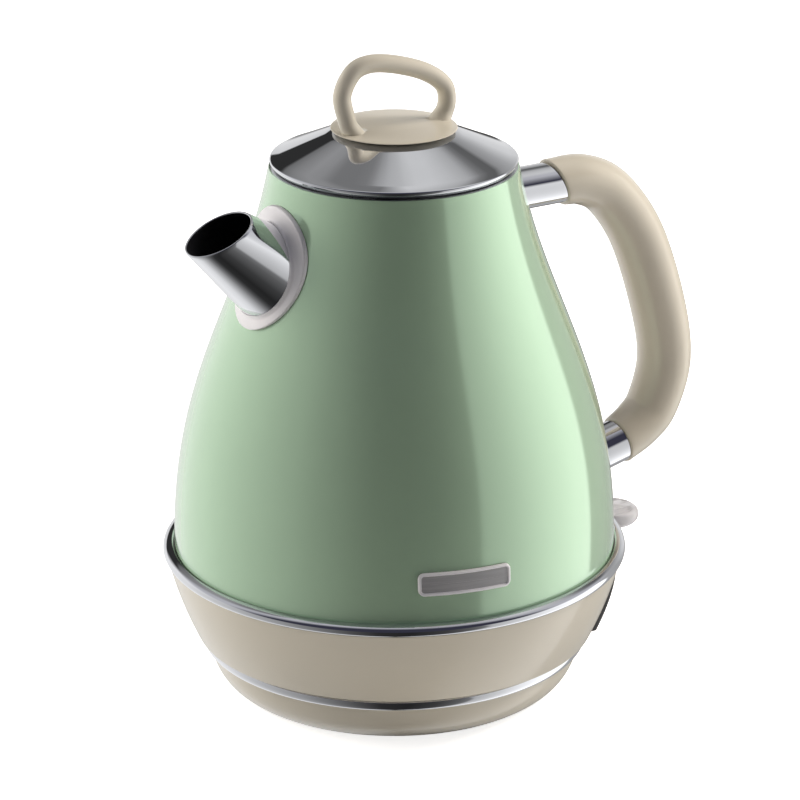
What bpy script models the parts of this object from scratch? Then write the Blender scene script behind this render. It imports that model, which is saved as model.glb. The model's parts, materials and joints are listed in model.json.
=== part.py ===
"""Cordless electric kettle with its power base, as an assembly of separate pieces.

Frame: +Z up, origin at the centre of the power base's underside. The spout points along -X and the
handle along +X. Lengths below are in millimetres and are turned into metres where a mesh is made.
"""

from math import atan2, cos, pi, radians, sin, tan

import bmesh
import bpy
from mathutils import Matrix, Vector

MM = 0.001
SEGMENTS = 32  # steps round each large turned piece
GAP = 0.3  # clearance between pieces that touch on the real object

# Jug body, a turned shell
BODY_EDGE_Z = 54.7  # lowest visible edge of the painted body
BODY_EDGE_R = 84.0
BODY_HIDDEN_Z = 52.2  # the body continues down inside the trim ring
BODY_TOP_Z = 203.0
BODY_TOP_R = 46.4
BODY_WALL = 1.2
LOWER_PULL = 68.7  # how far the wall leaves the edge straight up
UPPER_PULL = 54.0  # how far the wall reaches the rim along its end slope
UPPER_SLOPE = 0.19  # radius gained per millimetre below the rim
MOUTH_R = 41.3

# Skirt under the body
SKIRT_TOP = (87.0, 50.9)
SKIRT_BELLY = (83.5, 35.6)
SKIRT_BOTTOM = (76.2, 20.4)
SKIRT_WALL = 2.0

# Power base
BASE_BOTTOM_R = 62.5
BASE_TOP_R = 71.4
BASE_RING_Z = (15.4, 19.2)
BASE_RING_R = 74.0
BASE_DECK_Z = 18.4
BASE_PLATE_R = 60.9
FOOT_COUNT = 5
FOOT_RING_R = 55.5
FOOT_R = 4.6
FOOT_DROP = 1.5  # how far a foot stands out of the underside
BASE_TURN = -5.5  # how far the base is turned on the table, in degrees
BASE_SCREW_RING_R = 25.0
GLAND_Z = 8.2
GLAND_R = 5.5
GLAND_REACH = (62.0, 73.5)  # from the kettle's axis
CORD_BORE_R = 3.8
COLUMN_R = 16.4
COLUMN_TOP_Z = 32.0
COLUMN_FLANGE = (30.0, 10.0)  # radius and top of its foot
COLUMN_FOOT_Z = 2.6
COLUMN_SLOT_R = (8.0, 10.8)
COLUMN_SLOT_Z = 18.0
COLUMN_HOLE = (3.2, 16.0)  # radius and bottom

# Connector under the jug, which drops over the base's column
SOCKET_R = 24.4
SOCKET_Z = (21.2, 34.5, 38.4)  # open end, inner end, top
CONTACT_PIN_R = 2.4
CONTACT_RING_R = (8.8, 9.9)

# Floor, heater and control inside the skirt
FLOOR_Z = (60.3, 61.5)
FLOOR_RIM_Z = 55.5
HEAT_PLATE_R = 60.0
HEAT_PLATE_Z = (57.2, 60.0)
ELEMENT_RING_R = 48.0
ELEMENT_Z = 53.2
ELEMENT_TUBE_R = 3.6
ELEMENT_TAIL = 9.0  # how far its two ends turn down
CONTROL_R = (25.0, 34.0, 40.0)  # socket well, lower part, upper part
CONTROL_Z = (23.5, 30.0, 39.0, 46.7)  # underside, step, top of the well, top
COVER_Z = (20.9, 22.9)
TRIM_RING_FACE = [(87.2, 51.2), (88.5, 52.4), (88.3, 54.4), (86.6, 54.7)]

# Rear panel on the skirt
PANEL_HALF_WIDTH = 51.0
PANEL_RISE = 28.5
PANEL_THICKNESS = 1.8

# Steam tube from the top of the jug down to the thermostat, at its own azimuth
STEAM_AZIMUTH = radians(25.0)
STEAM_PATH = [(71.5, 46.0), (71.5, 80.0), (68.0, 108.0), (62.5, 129.0), (55.0, 149.0), (47.6, 170.0),
              (42.0, 190.0)]
STEAM_R = (4.0, 2.8)

# Spout, a tapered tube in the plane of the handle
SPOUT_Z = 171.1  # height at which its axis leaves the body
SPOUT_S = 54.6  # distance of that point from the kettle's axis
SPOUT_RISE = radians(38.8)
SPOUT_LENGTH = 27.0
SPOUT_ROOT_R = 17.0
SPOUT_MOUTH_R = 12.3
SPOUT_CUT = radians(-24.5)  # tilt of the mouth from square
SPOUT_WALL = 1.2
COLLAR_Z = 172.7
COLLAR_R = 22.0
COLLAR_THICKNESS = 2.6

# Handle, in the XZ plane
UPPER_ROOT_Z = 184.6
UPPER_END_X = 71.5
LOWER_END = (103.9, 73.0)
LOWER_RISE = radians(13.0)
GRIP_POINTS = [(UPPER_END_X, UPPER_ROOT_Z), (84.5, 183.6), (97.3, 176.3), (111.0, 157.0), (121.8, 127.0),
               (125.6, 104.0), (120.6, 86.0), (113.6, 78.4), LOWER_END]
GRIP_END = (8.9, 9.8)  # half thickness in the plane and half width across it
GRIP_SWELL = (1.7, 1.7)
FERRULE_UPPER = (8.0, 9.2)
FERRULE_LOWER = (8.4, 9.4)
UPPER_CUT = radians(22.0)

# Lid
LID_LIP_R = 46.0
LID_LIP_Z = (203.3, 206.0)  # inner edge, which rests on the rim, and top
LID_LIP_RISE = 1.4  # how far its underside rises outwards
CONE_FOOT = (45.1, 206.2)
CONE_TOP = (22.5, 216.0)
KNOB_R = 23.5
KNOB_Z = (216.4, 217.6)
KNOB_STEM_R = 5.9
KNOB_STEM_Z = (204.8, 215.0)  # its foot, and the end of the screw's hole
LID_HOLE_R = 2.3  # for the lid's screw
LOOP_POINTS = [(-18.4, 217.5), (-20.6, 224.0), (-22.1, 232.5), (-17.5, 240.4), (-10.0, 242.6), (1.0, 240.8),
               (13.5, 236.3), (21.5, 230.3), (23.0, 223.5), (20.8, 217.5)]
LOOP_R = 3.4

# Switch under the handle
LEVER_PIVOT = (72.0, 42.5)
TRIP_PIVOT = (52.0, 42.5)
PIVOT_PIN_R = 1.5
LEVER_TIP_X = 112.5
PADDLE_R = 10.5
LEVER_HALF_Z = 2.8
ARM_HALF_Y = 6.5
BRACKET_Y = (7.2, 9.7)
SLOT_Z = (34.5, 48.0)

# Spout filter, leaning like the wall behind it
FILTER_LEAN = radians(19.3)
FILTER_X = -46.8
FILTER_Z = 171.0

# Badge on the body's front
BADGE_AZIMUTH = radians(-104.0)
BADGE_Z = 70.1
BADGE_SIZE = (35.4, 8.6)
BADGE_CORNER = 2.2
BADGE_THICKNESS = 1.2

# Screws that fix the handle from inside the jug
FIXING_SHANK_R = 2.0
FIXING_LENGTH = 38.0
UPPER_FIXING_X = 45.2
LOWER_FIXING_START = -26.4  # along the lower ferrule's axis

# Lid liner, seal and screw
LINER_R = 40.6
LINER_Z = (197.0, 204.0)
SEAL_GROOVE_Z = (198.2, 201.2)
LID_SCREW_Z = 194.8


# ---------------------------------------------------------------- shapes and helpers

def clear_scene():
    for obj in list(bpy.data.objects):
        bpy.data.objects.remove(obj, do_unlink=True)


def material(name, colour, roughness, metallic=0.0, alpha=1.0):
    made = bpy.data.materials.new(name)
    made.use_nodes = True
    shader = made.node_tree.nodes["Principled BSDF"]
    shader.inputs["Base Color"].default_value = (*colour, 1.0)
    shader.inputs["Roughness"].default_value = roughness
    shader.inputs["Metallic"].default_value = metallic
    shader.inputs["Alpha"].default_value = alpha
    made.diffuse_color = (*colour, alpha)
    return made


def mesh_object(name, points, faces, finish, origin=(0.0, 0.0, 0.0)):
    """A closed mesh object from points in millimetres, with its faces turned outwards."""
    shape = bmesh.new()
    start = Vector(origin)
    corners = [shape.verts.new((Vector(point) - start) * MM) for point in points]
    for face in faces:
        shape.faces.new([corners[index] for index in face])
    bmesh.ops.recalc_face_normals(shape, faces=shape.faces)
    mesh = bpy.data.meshes.new(name)
    shape.to_mesh(mesh)
    shape.free()
    mesh.shade_smooth()
    mesh.set_sharp_from_angle(angle=radians(35))
    obj = bpy.data.objects.new(name, mesh)
    obj.location = start * MM
    bpy.context.scene.collection.objects.link(obj)
    if finish is not None:
        mesh.materials.append(finish)
    return obj


def bezier(points, steps):
    """Points along a quadratic or cubic curve, both ends included."""
    curve = []
    for step in range(steps + 1):
        level = [Vector(point) for point in points]
        while len(level) > 1:
            level = [a.lerp(b, step / steps) for a, b in zip(level, level[1:])]
        curve.append(tuple(level[0]))
    return curve


def arc(centre, radius, start, end, steps):
    """Points on a circle from one angle to another, in degrees."""
    angles = [radians(start + (end - start) * step / steps) for step in range(steps + 1)]
    return [(centre[0] + radius * cos(angle), centre[1] + radius * sin(angle)) for angle in angles]


def smooth_path(points, steps):
    """A Catmull-Rom curve through the points, which keeps both end points."""
    known = [Vector(point) for point in points]
    known = [2 * known[0] - known[1], *known, 2 * known[-1] - known[-2]]
    path = []
    for before, start, end, after in zip(known, known[1:], known[2:], known[3:]):
        for step in range(steps):
            t = step / steps
            path.append(0.5 * (2 * start + (end - before) * t
                               + (2 * before - 5 * start + 4 * end - after) * t ** 2
                               + (3 * start - before - 3 * end + after) * t ** 3))
    path.append(known[-2])
    return path


def turned(name, outline, finish, segments=SEGMENTS, centre=(0.0, 0.0)):
    """Turns a closed outline of (radius, height) round a vertical axis. Radius 0 gives one point."""
    points, rings = [], []
    for radius, height in outline:
        if radius == 0:
            rings.append([len(points)] * segments)
            points.append((centre[0], centre[1], height))
            continue
        rings.append(list(range(len(points), len(points) + segments)))
        for step in range(segments):
            angle = 2 * pi * step / segments
            points.append((centre[0] + radius * cos(angle), centre[1] + radius * sin(angle), height))
    faces = []
    for lower, upper in zip(rings, rings[1:] + rings[:1]):
        for step in range(segments):
            after = (step + 1) % segments
            corners = [lower[step], lower[after], upper[after], upper[step]]
            corners = list(dict.fromkeys(corners))
            if len(corners) > 2:
                faces.append(corners)
    return mesh_object(name, points, faces, finish, (*centre, 0.0))


def ring_faces(count, sides, first=0):
    """Quads between rings of points that follow each other."""
    faces = []
    for ring in range(count - 1):
        for side in range(sides):
            after = (side + 1) % sides
            low = first + ring * sides
            faces.append([low + side, low + after, low + sides + after, low + sides + side])
    return faces


def section_points(path, sizes, sides, start_cut=0.0, end_cut=0.0):
    """Oval sections square to a path in the XZ plane. A cut tilts the first or the last section."""
    points = []
    last = len(path) - 1
    for index, place in enumerate(path):
        ahead = path[min(index + 1, last)] - path[max(index - 1, 0)]
        ahead.normalize()
        side_way = Vector((-ahead.y, ahead.x))
        lean = tan(start_cut) if index == 0 else tan(end_cut) if index == last else 0.0
        thick, wide = sizes(index / last)
        for side in range(sides):
            angle = 2 * pi * side / sides
            spot = place + side_way * thick * cos(angle) + ahead * lean * thick * cos(angle)
            points.append((spot.x, wide * sin(angle), spot.y))
    return points


def swept(name, path, sizes, finish, sides=16, start_cut=0.0, end_cut=0.0):
    """A solid bar along a path in the XZ plane."""
    points = section_points(path, sizes, sides, start_cut, end_cut)
    faces = ring_faces(len(path), sides)
    faces.append(list(range(sides)))
    faces.append(list(range(len(points) - sides, len(points))))
    return mesh_object(name, points, faces, finish)


def swept_tube(name, path, outer, inner, finish, sides=10):
    """A tube along a path in the XZ plane, open at both ends."""
    skin = section_points(path, lambda _: (outer, outer), sides)
    bore = section_points(path, lambda _: (inner, inner), sides)
    faces = ring_faces(len(path), sides) + ring_faces(len(path), sides, len(skin))
    for low in (0, len(skin) - sides):
        for side in range(sides):
            after = (side + 1) % sides
            faces.append([low + side, low + after, len(skin) + low + after, len(skin) + low + side])
    return mesh_object(name, skin + bore, faces, finish)


def rod(name, start, end, radius, finish, sides=16):
    """A round bar between two points."""
    start, end = Vector(start), Vector(end)
    turn = (end - start).to_track_quat("Z", "Y")
    points = []
    for place in (start, end):
        for side in range(sides):
            angle = 2 * pi * side / sides
            points.append(place + turn @ Vector((radius * cos(angle), radius * sin(angle), 0)))
    faces = ring_faces(2, sides) + [list(range(sides)), list(range(sides, 2 * sides))]
    return mesh_object(name, points, faces, finish, start)


def prism(name, outline, low, high, finish, place=None):
    """Extrudes an outline of (a, b) from low to high along c. place turns (a, b, c) into (x, y, z)."""
    place = place or (lambda a, b, c: (a, b, c))
    count = len(outline)
    points = [place(a, b, c) for c in (low, high) for a, b in outline]
    faces = ring_faces(2, count) + [list(range(count)), list(range(count, 2 * count))]
    return mesh_object(name, points, faces, finish)


def block(name, low, high, finish):
    outline = [(low[0], low[1]), (high[0], low[1]), (high[0], high[1]), (low[0], high[1])]
    return prism(name, outline, low[2], high[2], finish)


def rounded_rectangle(width, height, corner, steps=4):
    outline = []
    for sign_x, sign_y, start in ((1, 1, 0), (-1, 1, 90), (-1, -1, 180), (1, -1, 270)):
        centre = (sign_x * (width / 2 - corner), sign_y * (height / 2 - corner))
        outline += arc(centre, corner, start, start + 90, steps)
    return outline


def combine(obj, other, operation):
    """Joins, cuts or trims one object with a helper, which stays hidden."""
    step = obj.modifiers.new(f"{operation.title()} {other.name}", "BOOLEAN")
    step.operation = operation
    step.object = other
    other.hide_render = True
    other.display_type = "WIRE"
    return obj


def cut(obj, *others):
    for other in others:
        combine(obj, other, "DIFFERENCE")
    return obj


# ---------------------------------------------------------------- shared outlines

def body_outline(offset, steps):
    """The painted wall's outside, bottom to top, moved out by an offset."""
    curve = bezier([(BODY_EDGE_R, BODY_EDGE_Z), (BODY_EDGE_R, BODY_EDGE_Z + LOWER_PULL),
                    (BODY_TOP_R + UPPER_SLOPE * UPPER_PULL, BODY_TOP_Z - UPPER_PULL),
                    (BODY_TOP_R, BODY_TOP_Z)], steps)
    return [(radius + offset, height) for radius, height in curve]


def skirt_outline(offset, steps):
    curve = bezier([SKIRT_BOTTOM, SKIRT_BELLY, SKIRT_TOP], steps)
    return [(radius + offset, height) for radius, height in curve]


def body_solid(name, offset):
    """A full solid of the body's outside, to trim pieces that sit on it."""
    outline = body_outline(offset, 11)
    low, high = outline[0], outline[-1]
    below, above = low[1] - 12, high[1] + 20
    outline = [(0, below), (low[0], below), *outline, (high[0] - 4, above), (0, above)]
    return turned(name, outline, None)


def on_body(azimuth, height):
    """Turns (sideways, upwards, outwards) into a place on a radius at that azimuth."""
    out = Vector((cos(azimuth), sin(azimuth), 0))
    side = Vector((-sin(azimuth), cos(azimuth), 0))
    return lambda a, b, c: out * c + side * a + Vector((0, 0, height + b))


def along_spout(along, up, across):
    """A place in the spout's own frame: along its axis, across it in the plane, and sideways."""
    return (-(SPOUT_S + along * cos(SPOUT_RISE) - up * sin(SPOUT_RISE)), across,
            SPOUT_Z + along * sin(SPOUT_RISE) + up * cos(SPOUT_RISE))


def in_filter(across, up, out):
    """A place in the filter's own leaning frame."""
    return (FILTER_X + up * sin(FILTER_LEAN) - out * cos(FILTER_LEAN), across,
            FILTER_Z + up * cos(FILTER_LEAN) + out * sin(FILTER_LEAN))


# ---------------------------------------------------------------- power base

def base_shell(finish):
    outer = bezier([(BASE_BOTTOM_R, 0.0), (BASE_TOP_R - 1.5, 4.0), (BASE_TOP_R, BASE_RING_Z[0] - GAP)], 4)
    deck_r = BASE_RING_R - 4.4
    outline = [*outer, (deck_r, BASE_RING_Z[0] - GAP), (deck_r, BASE_DECK_Z), (COLUMN_R + GAP, BASE_DECK_Z),
               (COLUMN_R + GAP, BASE_DECK_Z - 2.0), (deck_r - 2.0, BASE_DECK_Z - 2.0), (deck_r - 2.0, 13.0),
               (BASE_TOP_R - 4.0, 11.0), (BASE_PLATE_R + GAP + 1.5, 3.0), (BASE_PLATE_R + GAP, 2.6),
               (BASE_PLATE_R + GAP, 0.0)]
    shell = turned("base_shell", outline, finish)
    hole = rod("cut_cord_hole", gland_point(50.0), gland_point(80.0), GLAND_R + GAP, None)
    return cut(shell, hole)


def gland_point(radius):
    angle = radians(90 + BASE_TURN)
    return (radius * cos(angle), radius * sin(angle), GLAND_Z)


def cord_gland(finish):
    inner, outer = GLAND_REACH
    gland = rod("cord_gland", gland_point(inner), gland_point(outer), GLAND_R, finish)
    return cut(gland, rod("cut_cord_bore", gland_point(inner - 2), gland_point(outer + 2), CORD_BORE_R, None))


def base_trim_ring(finish):
    low, high = BASE_RING_Z
    inner = BASE_RING_R - 4.1
    edge = BASE_RING_R - 0.9
    face = bezier([(edge, low), (BASE_RING_R + 0.3, (low + high) / 2), (edge, high)], 3)
    return turned("base_trim_ring", [(inner, low), *face, (inner, high)], finish)


def foot_places():
    return [radians(BASE_TURN - 90 + 360 * index / FOOT_COUNT) for index in range(FOOT_COUNT)]


def screw_places(count, radius, start=30.0):
    angles = [radians(start + 360 * index / count) for index in range(count)]
    return [(radius * cos(angle), radius * sin(angle)) for angle in angles]


def base_bottom_plate(finish):
    outline = [(0, 0.0), (BASE_PLATE_R, 0.0), (BASE_PLATE_R, 2.2), (0, 2.2)]
    plate = turned("base_bottom_plate", outline, finish)
    for index, angle in enumerate(foot_places(), 1):
        spot = (FOOT_RING_R * cos(angle), FOOT_RING_R * sin(angle))
        cut(plate, rod(f"cut_foot_{index}", (*spot, -2.0), (*spot, 1.2), FOOT_R + GAP, None, 12))
    for index, spot in enumerate(screw_places(3, BASE_SCREW_RING_R), 1):
        cut(plate, rod(f"cut_base_screw_{index}", (*spot, -1.0), (*spot, 3.0), 1.5 + GAP, None, 10))
        cut(plate, rod(f"cut_base_head_{index}", (*spot, -1.0), (*spot, 1.3), 3.0 + GAP, None, 12))
    return plate


def base_feet(finish):
    for index, angle in enumerate(foot_places(), 1):
        spot = (FOOT_RING_R * cos(angle), FOOT_RING_R * sin(angle))
        outline = [(0, -FOOT_DROP), (FOOT_R - 0.5, -FOOT_DROP), (FOOT_R, -FOOT_DROP + 0.5), (FOOT_R, 0.8),
                   (0, 0.8)]
        turned(f"base_foot_{index}", outline, finish, 12, spot)


def screw(name, head, way, length, finish, head_r=3.0, head_height=1.4, shank_r=1.5):
    """A pan-head screw from the outer face of its head along a direction."""
    head, way = Vector(head), Vector(way).normalized()
    piece = rod(name, head, head + way * head_height, head_r, finish, 12)
    shank = rod(f"join_{name}", head + way * head_height / 2, head + way * length, shank_r, None, 10)
    return combine(piece, shank, "UNION")


def base_screws(finish):
    for index, spot in enumerate(screw_places(3, BASE_SCREW_RING_R), 1):
        screw(f"base_screw_{index}", (*spot, -0.3), (0, 0, 1), 7.0, finish)


def base_connector(finish):
    """The column that stands in the middle of the base, with a pin hole and a ring slot in its top."""
    top, foot = COLUMN_TOP_Z, COLUMN_FOOT_Z
    flange_r, flange_top = COLUMN_FLANGE
    slot_inner, slot_outer = COLUMN_SLOT_R
    hole_r, hole_bottom = COLUMN_HOLE
    outline = [(0, foot), (flange_r, foot), (flange_r, flange_top), (COLUMN_R, flange_top),
               (COLUMN_R, top - 2.0), (COLUMN_R - 2.0, top), (slot_outer, top), (slot_outer, COLUMN_SLOT_Z),
               (slot_inner, COLUMN_SLOT_Z), (slot_inner, top), (hole_r, top), (hole_r, hole_bottom),
               (0, hole_bottom)]
    column = turned("base_connector", outline, finish)
    for index, spot in enumerate(screw_places(3, BASE_SCREW_RING_R), 1):
        cut(column, rod(f"cut_boss_{index}", (*spot, 1.0), (*spot, 7.5), 1.5 + GAP, None, 10))
    return column


def power_base(finish):
    base_shell(finish["cream"])
    cord_gland(finish["black"])
    base_trim_ring(finish["chrome"])
    base_bottom_plate(finish["cream"])
    base_feet(finish["rubber"])
    base_screws(finish["steel"])
    base_connector(finish["black"])


# ---------------------------------------------------------------- jug connector

def jug_connector(finish):
    low, inner_end, top = SOCKET_Z
    well_r = COLUMN_R + 0.6
    outline = [(well_r, low), (SOCKET_R, low), (SOCKET_R, top), (0, top), (0, inner_end), (well_r, inner_end)]
    turned("connector_socket", outline, finish["black"])
    contact_top = inner_end - GAP
    point = [(0, low - 1.2), (CONTACT_PIN_R, low + GAP), (CONTACT_PIN_R, contact_top), (0, contact_top)]
    turned("socket_pin", point, finish["brass"], 16)
    inner, outer = CONTACT_RING_R
    ring = [(inner, low + 0.8), (outer, low + 0.8), (outer, contact_top), (inner, contact_top)]
    turned("socket_contact_ring", ring, finish["brass"], 24)


# ---------------------------------------------------------------- jug body

def body_shell(finish):
    outside = body_outline(0.0, 11)
    inside = body_outline(-BODY_WALL, 7)[:-1]
    top_r, top_z = BODY_TOP_R, BODY_TOP_Z
    roll = [(top_r - 0.5, top_z), (MOUTH_R, top_z), (MOUTH_R, top_z - BODY_WALL),
            (top_r - BODY_WALL, top_z - BODY_WALL)]
    outline = [(BODY_EDGE_R - BODY_WALL, BODY_HIDDEN_Z), (BODY_EDGE_R, BODY_HIDDEN_Z), *outside[:-1],
               (top_r, top_z - 0.5), *roll, *reversed(inside)]
    shell = turned("body_shell", outline, finish)
    start, end = along_spout(-25.0, 0, 0), along_spout(15.0, 0, 0)
    bore = rod("cut_spout_hole", start, end, SPOUT_ROOT_R - 3.5, None, 24)
    hole_r = FIXING_SHANK_R + GAP
    upper = rod("cut_upper_hole", (40.0, 0, UPPER_ROOT_Z), (60.0, 0, UPPER_ROOT_Z), hole_r, None, 10)
    lower = rod("cut_lower_hole", lower_axis(-34.0), lower_axis(-12.0), hole_r, None, 10)
    return cut(shell, bore, upper, lower)


def body_trim_ring(finish):
    low, high = TRIM_RING_FACE[0][1], TRIM_RING_FACE[-1][1]
    inner = BODY_EDGE_R + 0.4
    outline = [(inner, low), *bezier(TRIM_RING_FACE, 4), (inner + 0.2, high + 0.3), (inner, high)]
    return turned("body_trim_ring", outline, finish)


def jug_floor(finish):
    outer = BODY_EDGE_R - BODY_WALL - 0.4
    low, high = FLOOR_Z
    inner = outer - (high - low)
    outline = [(inner, FLOOR_RIM_Z), (outer, FLOOR_RIM_Z), (outer, high), (0, high), (0, low), (inner, low)]
    floor = turned("jug_floor", outline, finish)
    place = steam_place()
    return cut(floor, rod("cut_steam_hole", (*place, 50.0), (*place, 70.0), STEAM_R[0] + GAP, None, 12))


def heat_plate(finish):
    low, high = HEAT_PLATE_Z
    return turned("heat_plate", [(0, low), (HEAT_PLATE_R, low), (HEAT_PLATE_R, high), (0, high)], finish, 40)


def heating_element(finish):
    """A sheathed ring under the heat plate, whose two ends turn down to the control unit."""
    sides = 8
    ring = arc((0.0, 0.0), ELEMENT_RING_R, 25, 335, 30)
    spine = [Vector((x, y, ELEMENT_Z)) for x, y in ring]
    tail = Vector((0, 0, -ELEMENT_TAIL))
    spine = [spine[0] + tail, *spine, spine[-1] + tail]
    points = []
    for index, place in enumerate(spine):
        ahead = spine[min(index + 1, len(spine) - 1)] - spine[max(index - 1, 0)]
        ahead.normalize()
        inward = Vector((-place.x, -place.y, 0)).normalized()
        across = ahead.cross(inward).normalized()
        for side in range(sides):
            angle = 2 * pi * side / sides
            points.append(place + ELEMENT_TUBE_R * (cos(angle) * inward + sin(angle) * across))
    faces = ring_faces(len(spine), sides)
    faces += [list(range(sides)), list(range(len(points) - sides, len(points)))]
    return mesh_object("heating_element", points, faces, finish)


def slot_box(name):
    """The slot in the skirt and the rear panel that the switch arm passes through."""
    half = ARM_HALF_Y + 0.8
    return block(name, (66.0, -half, SLOT_Z[0]), (96.0, half, SLOT_Z[1]), None)


def skirt(finish):
    outside = skirt_outline(0.0, 5)
    inside = skirt_outline(-SKIRT_WALL, 3)
    outline = [(SKIRT_BOTTOM[0] - SKIRT_WALL, SKIRT_BOTTOM[1]), *outside, (BODY_EDGE_R - 5.0, SKIRT_TOP[1]),
               (BODY_EDGE_R - 5.0, SKIRT_TOP[1] - 1.6), (inside[-1][0] - 0.4, SKIRT_TOP[1] - 1.6),
               *reversed(inside[1:-1])]
    return cut(turned("skirt", outline, finish), slot_box("cut_skirt_slot"))


def skirt_bottom_cover(finish):
    outer = SKIRT_BOTTOM[0] - SKIRT_WALL - GAP
    inner = CONTROL_R[0]
    low, high = COVER_Z
    return turned("skirt_bottom_cover", [(inner, low), (outer, low), (outer, high), (inner, high)], finish)


def rear_panel(finish):
    """A dark arch-shaped cover on the skirt's rear, round the switch slot."""
    outside = skirt_outline(GAP + PANEL_THICKNESS, 5)
    band = turned("rear_panel", [*skirt_outline(GAP, 5), *reversed(outside)], finish)
    foot = (PANEL_HALF_WIDTH + 2.0, 10.0)
    arch = [(-foot[0], foot[1]), foot]
    for step in range(17):
        angle = pi * step / 16
        rise = PANEL_RISE * max(sin(angle), 0.0) ** 0.75
        arch.append((PANEL_HALF_WIDTH * cos(angle), SKIRT_BOTTOM[1] + 0.1 + rise))
    outline = prism("trim_rear_arch", arch, 20.0, 110.0, None, lambda a, b, c: (c, a, b))
    combine(band, outline, "INTERSECT")
    return cut(band, slot_box("cut_panel_slot"))


def control_unit(finish):
    well, lower, upper = CONTROL_R
    low, step, well_top, top = CONTROL_Z
    outline = [(well, low), (lower, low), (lower, step), (upper, step), (upper, top), (0, top), (0, well_top),
               (well, well_top)]
    return turned("control_unit", outline, finish)


def control_studs(finish):
    low, high = CONTROL_Z[-1] + GAP, HEAT_PLATE_Z[0] - GAP
    for index, spot in enumerate(screw_places(3, 32.0, 60.0), 1):
        rod(f"control_stud_{index}", (*spot, low), (*spot, high), 2.0, finish, 12)


def steam_place():
    return (STEAM_PATH[0][0] * cos(STEAM_AZIMUTH), STEAM_PATH[0][0] * sin(STEAM_AZIMUTH))


def steam_parts(finish):
    tube = swept_tube("steam_tube", smooth_path(STEAM_PATH, 2), *STEAM_R, finish["clear"])
    tube.rotation_euler = (0, 0, STEAM_AZIMUTH)
    x, y = steam_place()
    block("steam_thermostat", (x - 6, y - 6, 35.0), (x + 6, y + 6, 42.5), finish["black"])
    turned("bimetal_disc", [(0, 43.3), (5.6, 42.8), (5.6, 43.6), (0, 44.1)], finish["steel"], 16, (x, y))


def badge_plate(finish, around, under):
    outline = rounded_rectangle(*BADGE_SIZE, BADGE_CORNER)
    badge = prism("badge_plate", outline, 60.0, 100.0, finish, on_body(BADGE_AZIMUTH, BADGE_Z))
    combine(badge, around, "INTERSECT")
    return cut(badge, under)


def jug_body(finish):
    body_shell(finish["green"])
    body_trim_ring(finish["chrome"])
    jug_floor(finish["steel"])
    heat_plate(finish["aluminium"])
    heating_element(finish["steel"])
    skirt(finish["cream"])
    skirt_bottom_cover(finish["cream"])
    rear_panel(finish["black"])
    control_unit(finish["black"])
    control_studs(finish["steel"])
    steam_parts(finish)
    around = body_solid("trim_badge", GAP + BADGE_THICKNESS)
    badge_plate(finish["chrome"], around, body_solid("cut_badge", GAP))


# ---------------------------------------------------------------- spout and filter

def spout_cone(name, grow, start, end, cut_angle, finish, sides=24):
    """A cone on the spout's axis, moved out by an amount, with a tilted far end."""
    slope = (SPOUT_MOUTH_R - SPOUT_ROOT_R) / SPOUT_LENGTH
    points = []
    for station, tilt in ((start, 0.0), (end, tan(cut_angle))):
        for side in range(sides):
            angle = 2 * pi * side / sides
            radius = (SPOUT_ROOT_R + slope * station + grow) / (1 - slope * tilt * cos(angle))
            up = radius * cos(angle)
            points.append(along_spout(station + tilt * up, up, radius * sin(angle)))
    faces = ring_faces(2, sides) + [list(range(sides)), list(range(sides, 2 * sides))]
    return mesh_object(name, points, faces, finish)


def spout_tube(finish, body):
    tube = spout_cone("spout_tube", 0.0, -16.0, SPOUT_LENGTH, SPOUT_CUT, finish)
    return cut(tube, spout_cone("cut_spout_bore", -SPOUT_WALL, -24.0, SPOUT_LENGTH + 12.0, 0.0, None), body)


def spout_collar(finish, around, body):
    disc = rod("spout_collar", (-30.0, 0, COLLAR_Z), (-80.0, 0, COLLAR_Z), COLLAR_R, finish, 32)
    combine(disc, around, "INTERSECT")
    return cut(disc, body, spout_cone("cut_collar_hole", GAP, -24.0, SPOUT_LENGTH, 0.0, None))


def filter_block(name, across, up, out, finish):
    outline = [(-across, up[0]), (across, up[0]), (across, up[1]), (-across, up[1])]
    return prism(name, outline, -out, out, finish, in_filter)


def spout_filter(finish):
    """A leaning frame with a fine plate, which slides up out of its channel."""
    frame = filter_block("filter_frame", 15.6, (-20.0, 16.0), 1.1, finish["cream"])
    cut(frame, filter_block("cut_filter_window", 12.4, (-16.6, 12.6), 4.0, None))
    filter_block("filter_mesh", 12.1, (-16.3, 12.3), 0.4, finish["steel"])
    holder = filter_block("filter_holder", 18.0, (-22.6, 10.0), 2.6, finish["cream"])
    cut(holder, filter_block("cut_filter_slot", 15.9, (-20.3, 40.0), 1.4, None))
    cut(holder, filter_block("cut_filter_view", 12.8, (-17.0, 40.0), 6.0, None))


def spout(finish):
    body = body_solid("cut_spout_body", GAP)
    spout_tube(finish["chrome"], body)
    spout_collar(finish["chrome"], body_solid("trim_collar", COLLAR_THICKNESS), body)
    spout_filter(finish)


# ---------------------------------------------------------------- handle

def lower_axis(along):
    """A place on the lower ferrule's axis, from the end of the grip outwards."""
    return (LOWER_END[0] + along * cos(LOWER_RISE), 0.0, LOWER_END[1] + along * sin(LOWER_RISE))


def grip_sizes(t):
    swell = sin(pi * t) ** 0.6 if 0 < t < 1 else 0.0
    return (GRIP_END[0] + GRIP_SWELL[0] * swell, GRIP_END[1] + GRIP_SWELL[1] * swell)


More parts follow.
